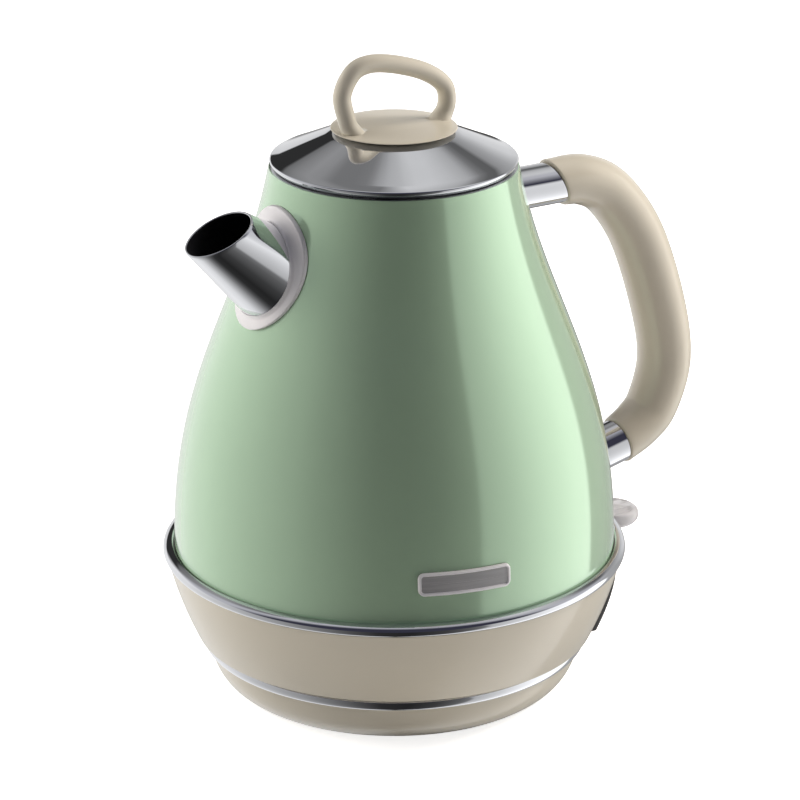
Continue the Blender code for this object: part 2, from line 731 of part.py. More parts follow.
def handle_grip(finish):
    """The grip, whose lower end is cut square to the ferrule it meets."""
    path = smooth_path(GRIP_POINTS, 3)
    arriving = path[-2] - path[-1]
    lower_cut = atan2(arriving.y, arriving.x) - LOWER_RISE
    grip = swept("handle_grip", path, grip_sizes, finish, 16, start_cut=-UPPER_CUT, end_cut=lower_cut)
    hole_r = FIXING_SHANK_R + GAP
    upper = rod("cut_grip_upper", (60.0, 0, UPPER_ROOT_Z), (90.0, 0, UPPER_ROOT_Z), hole_r, None, 10)
    lower = rod("cut_grip_lower", lower_axis(-8.0), lower_axis(15.0), hole_r, None, 10)
    return cut(grip, upper, lower)


def ferrule(name, path, size, end_cut, bore, finish, body):
    sleeve = swept(name, [Vector(point) for point in path], lambda _: size, finish, 16, end_cut=end_cut)
    return cut(sleeve, body, bore)


def handle_ferrules(finish, body):
    upper = [(30.0, UPPER_ROOT_Z), (UPPER_END_X - 10, UPPER_ROOT_Z), (UPPER_END_X - 0.4, UPPER_ROOT_Z)]
    bore = rod("cut_upper_bore", (20.0, 0, UPPER_ROOT_Z), (90.0, 0, UPPER_ROOT_Z), 3.0, None, 12)
    ferrule("handle_ferrule_upper", upper, FERRULE_UPPER, -UPPER_CUT, bore, finish, body)
    lower = [(lower_axis(along)[0], lower_axis(along)[2]) for along in (-60.0, -10.0, -0.4)]
    bore = rod("cut_lower_bore", lower_axis(-70.0), lower_axis(10.0), 3.0, None, 12)
    ferrule("handle_ferrule_lower", lower, FERRULE_LOWER, 0.0, bore, finish, body)


def handle_fixings(finish):
    """The screws go in from inside the jug, each with a sealing ring under its head."""
    way = Vector(lower_axis(1.0)) - Vector(lower_axis(0.0))
    steel, shank_r = finish["steel"], FIXING_SHANK_R
    for name, start, direction in (("upper", Vector((UPPER_FIXING_X, 0, UPPER_ROOT_Z)), Vector((1, 0, 0))),
                                   ("lower", Vector(lower_axis(LOWER_FIXING_START)), way)):
        screw(f"handle_screw_{name}", start, direction, FIXING_LENGTH, steel, 4.2, 2.0, shank_r)
        low, high = start + direction * 2.2, start + direction * 3.0
        seal = rod(f"handle_seal_{name}", low, high, 3.8, finish["rubber"], 12)
        cut(seal, rod(f"cut_seal_{name}", start, start + direction * 5, shank_r + GAP, None, 10))


def handle(finish):
    handle_grip(finish["cream"])
    handle_ferrules(finish["chrome"], body_solid("cut_ferrule_body", GAP))
    handle_fixings(finish)


# ---------------------------------------------------------------- switch

def pin(name, pivot, finish):
    reach = BRACKET_Y[1] + 0.5
    return rod(name, (pivot[0], -reach, pivot[1]), (pivot[0], reach, pivot[1]), PIVOT_PIN_R, finish, 12)


def pin_hole(name, pivot, reach):
    return rod(name, (pivot[0], -reach, pivot[1]), (pivot[0], reach, pivot[1]), PIVOT_PIN_R + GAP, None, 12)


def set_origin(obj, place):
    """Moves an object's origin without moving its shape."""
    obj.data.transform(Matrix.Translation(obj.location - Vector(place) * MM))
    obj.location = Vector(place) * MM
    return obj


def switch_lever(finish):
    """A clear paddle behind the skirt, on an arm that turns on a pin inside it."""
    centre_x = LEVER_TIP_X - PADDLE_R
    head = arc((centre_x, 0.0), PADDLE_R, -140, 140, 14)
    tail_x = LEVER_PIVOT[0] - 8.4
    outline = [(tail_x, -ARM_HALF_Y), (centre_x - 9.0, -ARM_HALF_Y), *head, (centre_x - 9.0, ARM_HALF_Y),
               (tail_x, ARM_HALF_Y)]
    low, high = LEVER_PIVOT[1] - LEVER_HALF_Z, LEVER_PIVOT[1] + LEVER_HALF_Z
    lever = set_origin(prism("switch_lever", outline, low, high, finish), (LEVER_PIVOT[0], 0, LEVER_PIVOT[1]))
    return cut(lever, pin_hole("cut_lever_pivot", LEVER_PIVOT, 20.0))


def trip_lever(finish):
    low = (TRIP_PIVOT[0] - 3.5, -4.0, TRIP_PIVOT[1] - LEVER_HALF_Z)
    high = (LEVER_PIVOT[0] - 9.6, 4.0, TRIP_PIVOT[1] + LEVER_HALF_Z)
    lever = set_origin(block("trip_lever", low, high, finish), (TRIP_PIVOT[0], 0, TRIP_PIVOT[1]))
    return cut(lever, pin_hole("cut_trip_pivot", TRIP_PIVOT, 20.0))


def switch_bracket(finish):
    inner, outer = BRACKET_Y
    low, high = (TRIP_PIVOT[0] - 5.0, -outer, 37.0), (LEVER_PIVOT[0] + 4.6, outer, 49.2)
    bracket = block("switch_bracket", low, high, finish)
    cut(bracket, block("cut_bracket_inside", (low[0] - 5, -inner, 30.0), (high[0] + 5, inner, 47.0), None))
    cut(bracket, pin_hole("cut_bracket_lever", LEVER_PIVOT, 20.0))
    return cut(bracket, pin_hole("cut_bracket_trip", TRIP_PIVOT, 20.0))


def switch(finish):
    switch_lever(finish["clear"])
    trip_lever(finish["black"])
    switch_bracket(finish["black"])
    pin("switch_pin", LEVER_PIVOT, finish["steel"])
    pin("trip_pin", TRIP_PIVOT, finish["steel"])
    rod("indicator_lamp", (64.0, -12.5, 34.0), (76.0, -12.5, 34.0), 2.4, finish["lamp"], 12)


# ---------------------------------------------------------------- lid

def lid_cover(finish):
    low, high = LID_LIP_Z
    edge = LID_LIP_R - 1.6
    lip = bezier([(edge, low), (LID_LIP_R + 0.5, low + LID_LIP_RISE), (LID_LIP_R + 0.4, high), CONE_FOOT], 5)
    top_r, top = CONE_TOP
    foot_r, foot = CONE_FOOT
    hole_r = KNOB_STEM_R + 0.5
    outline = [*lip, CONE_TOP, (hole_r, top), (hole_r, top - 1.0), (top_r - 0.3, top - 1.0),
               (foot_r - 0.6, foot - 1.1), (edge, foot - 1.1)]
    return turned("lid_cover", outline, finish)


def lid_liner(finish):
    low, high = LINER_Z
    groove_r, groove_low, groove_high = LINER_R - 1.6, *SEAL_GROOVE_Z
    floor_top = low + 1.5
    outline = [(LID_HOLE_R, low), (LINER_R, low), (LINER_R, groove_low), (groove_r, groove_low),
               (groove_r, groove_high), (LINER_R, groove_high), (LINER_R, high), (LINER_R - 2.6, high),
               (LINER_R - 3.6, floor_top), (LID_HOLE_R, floor_top)]
    return turned("lid_liner", outline, finish)


def lid_seal(finish):
    low, high = SEAL_GROOVE_Z[0] + GAP, SEAL_GROOVE_Z[1] - GAP
    inner = LINER_R - 1.6 + GAP
    lip = [(inner, low), (LINER_R, low), (MOUTH_R - GAP, (low + high) / 2), (LINER_R, high), (inner, high)]
    return turned("lid_seal", lip, finish)


def lid_knob(finish):
    """A thin disc with a stem below it and a slanting loop on top."""
    rim = [(KNOB_R - 0.6, KNOB_Z[0]), (KNOB_R, KNOB_Z[0] + 0.5), (KNOB_R - 0.5, KNOB_Z[1])]
    foot, hole_end = KNOB_STEM_Z
    outline = [(LID_HOLE_R, foot), (KNOB_STEM_R, foot), (KNOB_STEM_R, KNOB_Z[0]), *rim,
               (KNOB_R * 0.5, KNOB_Z[1] + 0.7), (0, KNOB_Z[1] + 0.9), (0, hole_end), (LID_HOLE_R, hole_end)]
    disc = turned("lid_knob", outline, finish, 30)
    loop = swept("join_loop", smooth_path(LOOP_POINTS, 2), lambda t: (LOOP_R, LOOP_R), None, 10)
    return combine(disc, loop, "UNION")


def lid(finish):
    lid_cover(finish["chrome"])
    lid_liner(finish["steel"])
    lid_seal(finish["rubber"])
    lid_knob(finish["cream"])
    screw("lid_screw", (0, 0, LID_SCREW_Z), (0, 0, 1), 19.0, finish["steel"], 4.5, 1.9, 2.0)


# ---------------------------------------------------------------- whole kettle

def finishes():
    return {
        "green": material("painted_green", (0.46, 0.66, 0.46), 0.15),
        "cream": material("cream_plastic", (0.66, 0.61, 0.50), 0.3),
        "chrome": material("chrome", (0.78, 0.79, 0.82), 0.06, 1.0),
        "steel": material("stainless_steel", (0.6, 0.6, 0.61), 0.28, 1.0),
        "aluminium": material("aluminium", (0.72, 0.73, 0.74), 0.4, 1.0),
        "brass": material("brass", (0.72, 0.52, 0.22), 0.3, 1.0),
        "black": material("black_plastic", (0.02, 0.02, 0.02), 0.4),
        "rubber": material("grey_rubber", (0.12, 0.12, 0.12), 0.8),
        "clear": material("clear_plastic", (0.85, 0.87, 0.9), 0.1, 0.0, 0.4),
        "lamp": material("lamp_amber", (0.8, 0.3, 0.08), 0.2),
    }


def main():
    clear_scene()
    finish = finishes()
    power_base(finish)
    jug_connector(finish)
    jug_body(finish)
    spout(finish)
    handle(finish)
    switch(finish)
    lid(finish)


main()
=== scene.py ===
"""Looks of the cordless electric kettle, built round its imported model.

Lengths are in millimetres in the model's own frame: +Z up, spout along -X, handle along +X.
"""
import json
from math import atan2, copysign, cos, pi, radians, sin, sqrt, tan

import bmesh
import bpy
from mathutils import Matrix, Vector


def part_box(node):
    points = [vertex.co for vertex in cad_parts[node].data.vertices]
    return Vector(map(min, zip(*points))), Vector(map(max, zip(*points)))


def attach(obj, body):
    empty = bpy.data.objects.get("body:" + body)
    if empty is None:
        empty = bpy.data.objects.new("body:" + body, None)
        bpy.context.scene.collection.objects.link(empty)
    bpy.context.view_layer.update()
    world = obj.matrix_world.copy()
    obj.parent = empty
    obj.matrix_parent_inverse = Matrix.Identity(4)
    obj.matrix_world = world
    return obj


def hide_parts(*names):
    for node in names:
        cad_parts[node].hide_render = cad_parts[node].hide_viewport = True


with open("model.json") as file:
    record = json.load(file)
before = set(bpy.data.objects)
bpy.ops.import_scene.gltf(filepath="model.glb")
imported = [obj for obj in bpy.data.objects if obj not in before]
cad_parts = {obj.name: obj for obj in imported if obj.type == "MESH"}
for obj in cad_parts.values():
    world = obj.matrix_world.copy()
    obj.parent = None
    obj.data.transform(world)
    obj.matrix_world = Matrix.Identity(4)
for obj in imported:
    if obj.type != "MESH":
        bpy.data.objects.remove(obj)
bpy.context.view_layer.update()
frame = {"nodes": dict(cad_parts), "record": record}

MM = 0.001
AROUND = 160  # steps round a large turned piece
GAP = 0.3
TABLE_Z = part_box("base_foot_1")[0][2]

# Camera
CAMERA_PLACE = (-0.6856, -1.1014, 0.5904)
CAMERA_TILT = radians(69.69)
CAMERA_AZIMUTH = radians(-32.0)
CAMERA_LENS = 164.8

# Painted body
BODY_EDGE = (84.0, 54.7)
BODY_TOP = (46.4, 203.0)
BODY_HIDDEN_Z = 52.2
BODY_WALL = 1.2
BODY_CURVE = [BODY_EDGE, (84.0, 123.4), (56.66, 149.0), BODY_TOP]
MOUTH_R = 41.3

# Skirt and trim
SKIRT_CURVE = [(76.2, 20.4), (83.5, 35.6), (87.0, 50.9)]
SKIRT_WALL = 2.0
TRIM_RING_FACE = [(87.2, 51.2), (89.1, 51.5), (89.0, 54.7), (85.0, 55.2)]
TRIM_RING_TOP_Z = 54.7  # where it meets the body
PANEL_HALF_WIDTH = 51.0
PANEL_RISE = 28.5
PANEL_THICKNESS = 1.8
SLOT_HALF_Y = 7.3
SLOT_Z = (34.5, 48.0)

# Power base
BASE_CURVE = [(62.5, 0.0), (69.9, 4.0), (71.4, 15.1)]
BASE_RING_R = 74.0
BASE_RING_Z = (15.4, 19.2)
BASE_DECK_Z = 18.4
BASE_PLATE_R = 60.9
BASE_TURN = -5.5
FOOT_RING_R = 55.5
FOOT_R = 4.6
COLUMN_R = 16.4
COLUMN_TOP_Z = 32.0
COLUMN_FLANGE_R = 30.0
COLUMN_FOOT_Z = (2.6, 10.0)
COLUMN_SLOT_R = (8.0, 10.8)
COLUMN_HOLE_R = 3.2
SCREW_RING_R = 25.0
GLAND_Z = 8.2
GLAND_REACH = (62.0, 73.5)
CORD_BORE_R = 3.8

# Spout
SPOUT_FOOT = (54.6, 171.1)  # distance from the kettle's axis, height
SPOUT_RISE = radians(38.8)
SPOUT_LENGTH = 27.0
SPOUT_ROOT_R = 17.0
SPOUT_MOUTH_R = 12.3
SPOUT_HOLE_R = 13.5  # the hole in the body behind the tube
SPOUT_CUT = radians(-24.5)
SPOUT_WALL = 0.8  # thinned towards the lip
COLLAR_Z = 172.7
COLLAR_R = 22.0
COLLAR_HALF_WIDTH = 20.6
COLLAR_THICKNESS = 1.9
COLLAR_DOME = 0.3

# Handle
UPPER_ROOT_Z = 184.6
UPPER_END_X = 71.5
UPPER_CUT = radians(-22.0)
LOWER_END = (103.9, 73.0)
LOWER_RISE = radians(13.0)
GRIP_POINTS = [(UPPER_END_X, UPPER_ROOT_Z), (84.5, 183.6), (97.3, 176.3), (111.0, 157.0), (121.8, 127.0),
               (125.6, 104.0), (120.6, 86.0), (113.6, 78.4), LOWER_END]
GRIP_END = (8.9, 9.8)
GRIP_SWELL = 1.7
FERRULE_UPPER = (8.0, 9.2)
FERRULE_LOWER = (8.4, 9.4)

# Lid
LID_LIP_R = 46.0
LID_LIP_Z = (203.3, 206.0)
LID_LIP_RISE = 1.4
CONE_FOOT = (45.1, 206.2)
CONE_TOP = (22.5, 216.0)
KNOB_R = 23.5
KNOB_Z = (216.4, 217.6)
KNOB_DOME = 0.9
STEM_R = 5.9
STEM_FOOT_Z = 204.8
SCREW_TOP_Z = 215.0  # end of the screw's hole in the knob
LOOP_POINTS = [(-18.4, 217.5), (-20.6, 224.0), (-22.1, 232.5), (-17.5, 240.4), (-10.0, 242.6), (1.0, 240.8),
               (13.5, 236.3), (21.5, 230.3), (23.0, 223.5), (20.8, 217.5)]
LOOP_R = 3.4
LINER_R = 40.6
LID_HOLE_R = 2.3
SEAL_R = 39.3  # its inner edge
SEAL_Z = (198.5, 200.9)

# Switch lever
LEVER_PIVOT = (72.0, 42.5)
PADDLE_CENTRE_X = 102.0
PADDLE_R = 10.5
LEVER_HALF_Z = 2.8
ARM_HALF_Y = 6.5

# Badge and filter
BADGE_AZIMUTH = radians(-104.0)
BADGE_Z = 70.1
BADGE_SIZE = (35.4, 8.6)
BADGE_CORNER = 2.2
FILTER_LEAN = radians(19.3)
FILTER_PLACE = (-46.8, 171.0)

# Studio brightness, fixed in the world: by azimuth from the main camera's side, positive to its right,
# and by height behind the kettle
LIGHT_ROUND = [(-180, 0.20), (-176, 0.25), (-172, 0.80), (-144, 0.98), (-117, 0.84), (-98, 0.66), (-82, 0.52),
               (-68, 0.42), (-55, 0.33), (-43, 0.23), (-31, 0.15), (-20, 0.08), (-8, 0.03), (8, 0.02),
               (25, 0.05), (38, 0.12), (44, 0.19), (47, 0.50), (62, 0.70), (75, 0.92), (90, 1.16),
               (108, 1.38), (121, 1.38), (124, 0.42), (150, 0.38), (158, 0.44), (166, 0.44), (170, 0.08),
               (180, 0.06)]
LIGHT_BACK_LEFT = [(0.0, 0.80), (0.18, 0.70), (0.20, 0.03), (0.45, 0.03), (0.48, 0.17), (0.55, 0.235),
                   (0.66, 0.305), (0.73, 0.28), (0.79, 0.20), (0.85, 0.197), (0.88, 0.22), (0.90, 0.50),
                   (1.0, 0.50)]
LIGHT_BACK_RIGHT = [(0.0, 0.80), (0.20, 0.70), (0.38, 0.42), (0.49, 0.30), (0.54, 0.12), (0.60, 0.13),
                    (0.655, 0.21), (0.73, 0.46), (0.80, 0.57), (0.85, 0.65), (0.885, 0.65), (0.90, 0.51),
                    (1.0, 0.50)]
OVERHEAD = (0.50, 0.50, 0.53)
OVERHEAD_FRONT = (0.04, 0.04, 0.06)

BODY_OF = {node: body for body, nodes in frame["record"]["behaviour"]["bodies"].items() for node in nodes}
SLOT_OF = {row["node"]: row["material_slot"] for row in frame["record"]["subparts"]}


# ---------------------------------------------------------------- node and material helpers

def ramp(tree, source, stops):
    node = tree.nodes.new("ShaderNodeValToRGB")
    while len(node.color_ramp.elements) < len(stops):
        node.color_ramp.elements.new(0.5)
    for element, (position, value) in zip(node.color_ramp.elements, stops):
        element.position = position
        element.color = (*value, 1.0) if isinstance(value, tuple) else (value, value, value, 1.0)
    tree.links.new(source, node.inputs["Fac"])
    return node.outputs["Color"]


def calculate(tree, operation, *values):
    node = tree.nodes.new("ShaderNodeMath")
    node.operation = operation
    for socket, value in zip(node.inputs, values):
        if isinstance(value, (int, float)):
            socket.default_value = value
        else:
            tree.links.new(value, socket)
    return node.outputs["Value"]


def between(tree, source, low, high):
    """0 below the low value, 1 above the high one."""
    node = tree.nodes.new("ShaderNodeMapRange")
    node.inputs["From Min"].default_value = low
    node.inputs["From Max"].default_value = high
    tree.links.new(source, node.inputs["Value"])
    return node.outputs["Result"]


def blend(tree, share, first, second):
    node = tree.nodes.new("ShaderNodeMix")
    node.data_type = "RGBA"
    tree.links.new(share, node.inputs["Factor"])
    for socket, value in (("A", first), ("B", second)):
        if isinstance(value, tuple):
            node.inputs[socket].default_value = (*value, 1.0)
        else:
            tree.links.new(value, node.inputs[socket])
    return node.outputs["Result"]


class Nodes:
    """A material's node tree with short calls for what the finishes below need."""

    def __init__(self, name, **settings):
        self.material = bpy.data.materials.new(name)
        self.material.use_nodes = True
        self.tree = self.material.node_tree
        self.shader = self.tree.nodes["Principled BSDF"]
        self.place = self.tree.nodes.new("ShaderNodeTexCoord").outputs["Object"]
        for socket, value in settings.items():
            self.shader.inputs[socket.replace("_", " ")].default_value = value

    def link(self, source, target):
        self.tree.links.new(source, target)

    def stretched(self, scale):
        node = self.tree.nodes.new("ShaderNodeMapping")
        node.inputs["Scale"].default_value = scale
        self.link(self.place, node.inputs["Vector"])
        return node.outputs["Vector"]

    def noise(self, scale, detail=3.0, place=None):
        node = self.tree.nodes.new("ShaderNodeTexNoise")
        node.inputs["Scale"].default_value = scale
        node.inputs["Detail"].default_value = detail
        self.link(place or self.place, node.inputs["Vector"])
        return node.outputs["Fac"]

    def colour(self, source, dark, light):
        """Base colour that wanders between two close tones."""
        node = self.tree.nodes.new("ShaderNodeValToRGB")
        node.color_ramp.elements[0].position = 0.3
        node.color_ramp.elements[1].position = 0.7
        node.color_ramp.elements[0].color = (*dark, 1.0)
        node.color_ramp.elements[1].color = (*light, 1.0)
        self.link(source, node.inputs["Fac"])
        self.link(node.outputs["Color"], self.shader.inputs["Base Color"])

    def rough(self, source, low, high):
        node = self.tree.nodes.new("ShaderNodeMapRange")
        node.inputs["From Min"].default_value = 0.3
        node.inputs["From Max"].default_value = 0.7
        node.inputs["To Min"].default_value = low
        node.inputs["To Max"].default_value = high
        self.link(source, node.inputs["Value"])
        self.link(node.outputs["Result"], self.shader.inputs["Roughness"])

    def bump(self, source, strength, depth_mm):
        node = self.tree.nodes.new("ShaderNodeBump")
        node.inputs["Strength"].default_value = strength
        node.inputs["Distance"].default_value = depth_mm * MM
        self.link(source, node.inputs["Height"])
        self.link(node.outputs["Normal"], self.shader.inputs["Normal"])


def painted_green():
    """Lacquer with a fine metallic base under a clear coat, and a faint orange peel."""
    paint = Nodes("enamel_green", Metallic=0.48, Coat_Weight=0.5, Coat_Roughness=0.03)
    paint.colour(paint.noise(14.0, 2.0), (0.524, 0.738, 0.524), (0.530, 0.744, 0.530))
    paint.rough(paint.noise(60.0), 0.085, 0.100)
    paint.bump(paint.noise(700.0, 1.0), 0.02, 0.03)
    soften_bounce(paint, (0.60, 0.56, 0.52))
    return paint.material


def soften_bounce(paint, tone):
    """Matt pieces nearby are lit by this tone, so that the paint hardly tints them."""
    colour = paint.shader.inputs["Base Color"]
    rays = paint.tree.nodes.new("ShaderNodeLightPath")
    paint.link(blend(paint.tree, rays.outputs["Is Diffuse Ray"], colour.links[0].from_socket, tone), colour)


def cream_plastic():
    plastic = Nodes("moulded_cream", Coat_Weight=0.6, Coat_Roughness=0.09)
    plastic.colour(plastic.noise(20.0, 2.0), (0.668, 0.627, 0.520), (0.674, 0.633, 0.526))
    plastic.rough(plastic.noise(160.0), 0.29, 0.31)
    plastic.bump(plastic.noise(2500.0, 2.0), 0.03, 0.02)
    return plastic.material


def chrome():
    plating = Nodes("polished_chrome", Metallic=1.0)
    plating.colour(plating.noise(35.0), (0.78, 0.79, 0.82), (0.84, 0.85, 0.88))
    plating.rough(plating.noise(90.0, 4.0), 0.030, 0.045)
    plating.bump(plating.noise(220.0, 2.0), 0.01, 0.02)
    return plating.material


def satin_collar():
    plating = Nodes("satin_chrome", Metallic=0.35)
    plating.colour(plating.noise(40.0), (0.92, 0.91, 0.93), (0.96, 0.95, 0.97))
    plating.rough(plating.noise(120.0, 4.0), 0.42, 0.48)
    plating.bump(plating.noise(900.0, 3.0), 0.05, 0.04)
    return plating.material


def spout_bore_painted_shade():
    """The tube's inside: satin steel coloured near black, as painted shade in the deep bore."""
    metal = Nodes("spout_bore_painted_shade", Metallic=0.5)
    # near black: painted shade inside the tube
    metal.colour(metal.noise(80.0), (0.022, 0.022, 0.027), (0.032, 0.032, 0.037))
    metal.rough(metal.noise(200.0), 0.40, 0.50)
    return metal.material


def badge_field():
    """A matt-silver field, finely brushed across."""
    field = Nodes("badge_field", Metallic=0.5)
    lines = field.noise(70.0, 6.0, field.stretched((1.0, 1.0, 22.0)))
    field.colour(lines, (0.40, 0.40, 0.41), (0.48, 0.48, 0.49))
    field.rough(lines, 0.46, 0.56)
    return field.material


def brushed(name, dark, light, grain):
    """Metal with fine scratches that run along one axis."""
    metal = Nodes(name, Metallic=1.0)
    lines = metal.noise(60.0, 6.0, metal.stretched(grain))
    metal.colour(lines, dark, light)
    metal.rough(lines, 0.24, 0.38)
    metal.bump(lines, 0.12, 0.03)
    return metal.material


def black_plastic():
    plastic = Nodes("matt_black")
    plastic.colour(plastic.noise(50.0), (0.018, 0.018, 0.019), (0.028, 0.028, 0.030))
    plastic.rough(plastic.noise(300.0), 0.36, 0.50)
    plastic.bump(plastic.noise(1800.0, 2.0), 0.15, 0.05)
    return plastic.material


def grey_rubber():
    rubber = Nodes("silicone_grey")
    rubber.colour(rubber.noise(90.0), (0.11, 0.11, 0.11), (0.15, 0.15, 0.15))
    rubber.rough(rubber.noise(200.0), 0.62, 0.80)
    rubber.bump(rubber.noise(1400.0, 3.0), 0.25, 0.05)
    return rubber.material


def clear_plastic():
    plastic = Nodes("clear_moulding", IOR=1.50, Transmission_Weight=0.55)
    plastic.colour(plastic.noise(80.0), (0.95, 0.95, 0.98), (0.97, 0.97, 1.0))
    plastic.rough(plastic.noise(240.0), 0.05, 0.12)
    plastic.bump(plastic.noise(500.0, 1.0), 0.05, 0.05)
    return plastic.material


def lamp_amber():
    lamp = Nodes("amber_lens", Transmission_Weight=0.4)
    lamp.colour(lamp.noise(120.0), (0.75, 0.27, 0.06), (0.88, 0.36, 0.10))
    lamp.rough(lamp.noise(200.0), 0.10, 0.20)
    return lamp.material


FINISH = {
    "painted_green": painted_green(),
    "cream_plastic": cream_plastic(),
    "chrome": chrome(),
    "stainless_steel": brushed("satin_steel", (0.52, 0.52, 0.53), (0.68, 0.68, 0.69), (1.0, 1.0, 14.0)),
    "aluminium": brushed("rolled_aluminium", (0.66, 0.67, 0.68), (0.78, 0.79, 0.80), (14.0, 1.0, 1.0)),
    "brass": brushed("bare_brass", (0.64, 0.45, 0.19), (0.80, 0.60, 0.30), (1.0, 1.0, 8.0)),
    "black_plastic": black_plastic(),
    "grey_rubber": grey_rubber(),
    "clear_plastic": clear_plastic(),
    "lamp_amber": lamp_amber(),
}
SATIN = satin_collar()
SHADED_BORE = spout_bore_painted_shade()
BADGE_FIELD = badge_field()


# ---------------------------------------------------------------- mesh helpers

def build(name, rows, closed_rows=True, finishes=(), material_of=None, caps=False):
    """A closed mesh from rows of points with one count, each joined to the next.

    With closed rows the last row joins the first. Otherwise caps can close the two ends.
    """
    shape = bmesh.new()
    rings = []
    for row in rows:
        made = []
        for point in row:
            made.append(shape.verts.new(Vector(point) * MM))
        rings.append(made)
    pairs = list(zip(rings, rings[1:]))
    if closed_rows:
        pairs.append((rings[-1], rings[0]))
    for index, (low, high) in enumerate(pairs):
        for step in range(len(low)):
            after = (step + 1) % len(low)
            face = shape.faces.new((low[step], low[after], high[after], high[step]))
            face.material_index = material_of(index) if material_of else 0
    if caps:
        shape.faces.new(rings[0])
        shape.faces.new(rings[-1])
    bmesh.ops.remove_doubles(shape, verts=shape.verts, dist=1e-7)
    bmesh.ops.recalc_face_normals(shape, faces=shape.faces)
    mesh = bpy.data.meshes.new(name)
    shape.to_mesh(mesh)
    shape.free()
    mesh.shade_smooth()
    mesh.set_sharp_from_angle(angle=radians(38))
    obj = bpy.data.objects.new(name, mesh)
    bpy.context.scene.collection.objects.link(obj)
    for finish in finishes:
        mesh.materials.append(finish)
    return obj


def stands_for(piece, node, *more):
    """The piece takes over one CAD node or several, on the same body, and the nodes are hidden."""
    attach(piece, BODY_OF[node])
    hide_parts(node, *more)
    return piece


def fine(node, rows, finish=None, **options):
    """A detailed piece that replaces the node of the same name."""
    finishes = options.pop("finishes", (finish or FINISH[SLOT_OF[node]],))
    return stands_for(build(f"fine_{node}", rows, finishes=finishes, **options), node)


def bezier(points, steps):
    curve = []
    for step in range(steps + 1):
        level = [Vector(point) for point in points]
        while len(level) > 1:
            level = [a.lerp(b, step / steps) for a, b in zip(level, level[1:])]
        curve.append(level[0])
    return curve


def smooth_path(points, steps):
    """A Catmull-Rom curve through the points."""
    known = [Vector(point) for point in points]
    known = [2 * known[0] - known[1], *known, 2 * known[-1] - known[-2]]
    path = []
    for before, start, end, after in zip(known, known[1:], known[2:], known[3:]):
        for step in range(steps):
            t = step / steps
            squared = (2 * before - 5 * start + 4 * end - after) * t ** 2
            cubed = (3 * start - before - 3 * end + after) * t ** 3
            path.append(0.5 * (2 * start + (end - before) * t + squared + cubed))
    path.append(known[-2])
    return path


def rounded(outline, radius, steps=4):
    """A closed outline with each corner cut to a small arc. Corners on the axis stay."""
    smooth = []
    for index, corner in enumerate(outline):
        corner = Vector(corner)
        before, after = Vector(outline[index - 1]), Vector(outline[(index + 1) % len(outline)])
        reach = min(radius, (before - corner).length * 0.4, (after - corner).length * 0.4)
        if corner.x == 0 or reach < 0.05:
            smooth.append(corner)
            continue
        start = corner + (before - corner).normalized() * reach
        end = corner + (after - corner).normalized() * reach
        smooth += bezier([start, corner, end], steps)
    return smooth


def turn_rows(outline, centre=(0.0, 0.0), around=AROUND):
    rows = []
    for radius, height in outline:
        radius = max(radius, 0.0)
        rows.append([(centre[0] + radius * cos(2 * pi * step / around),
                      centre[1] + radius * sin(2 * pi * step / around), height) for step in range(around)])
    return rows


def turned(node, outline, radius=0.25, **options):
    """A turned piece with softened edges, in place of the node."""
    around = options.pop("around", AROUND)
    centre = options.pop("centre", (0.0, 0.0))
    return fine(node, turn_rows(rounded(outline, radius), centre, around), **options)


def cylinder(name, start, end, radius, around=32):
    """A hidden cutter."""
    start, end = Vector(start), Vector(end)
    turn = (end - start).to_track_quat("Z", "Y")
    rows = []
    for place in (start, end):
        row = []
        for step in range(around):
            angle = 2 * pi * step / around
            row.append(place + turn @ Vector((radius * cos(angle), radius * sin(angle), 0)))
        rows.append(row)
    return build(name, rows, closed_rows=False, caps=True)


def box(name, low, high):
    corners = [(low[0], low[1]), (high[0], low[1]), (high[0], high[1]), (low[0], high[1])]
    rows = [[(x, y, z) for x, y in corners] for z in (low[2], high[2])]
    return build(name, rows, closed_rows=False, caps=True)


def cut(piece, *cutters, operation="DIFFERENCE"):
    """Cuts the piece with helpers, which are removed again."""
    for cutter in cutters:
        step = piece.modifiers.new("Cut", "BOOLEAN")
        step.operation = operation
        step.object = cutter
    graph = bpy.context.evaluated_depsgraph_get()
    mesh = bpy.data.meshes.new_from_object(piece.evaluated_get(graph))
    piece.modifiers.clear()
    piece.data = mesh
    for cutter in cutters:
        bpy.data.objects.remove(cutter, do_unlink=True)
    return piece


# ---------------------------------------------------------------- shared surfaces

def radius_at(curve, height):
    """Radius of a turned Bezier outline at a height, by halving."""
    low, high = 0.0, 1.0
    for _ in range(30):
        middle = (low + high) / 2
        level = [Vector(point) for point in curve]
        while len(level) > 1:
            level = [a.lerp(b, middle) for a, b in zip(level, level[1:])]
        if level[0].y < height:
            low = middle
        else:
            high = middle
    return level[0].x


def body_radius(height):
    return radius_at(BODY_CURVE, min(max(height, BODY_EDGE[1]), BODY_TOP[1]))


def skirt_radius(height):
    return radius_at(SKIRT_CURVE, min(max(height, SKIRT_CURVE[0][1]), SKIRT_CURVE[-1][1]))


def reach_body(place_at, inside, outside, offset):
    """The station at which a line of places comes out through the body's outside."""
    for _ in range(30):
        middle = (inside + outside) / 2
        x, y, z = place_at(middle)
        if sqrt(x * x + y * y) < body_radius(z) + offset:
            inside = middle
        else:
            outside = middle
    return (inside + outside) / 2


# ---------------------------------------------------------------- turned shells

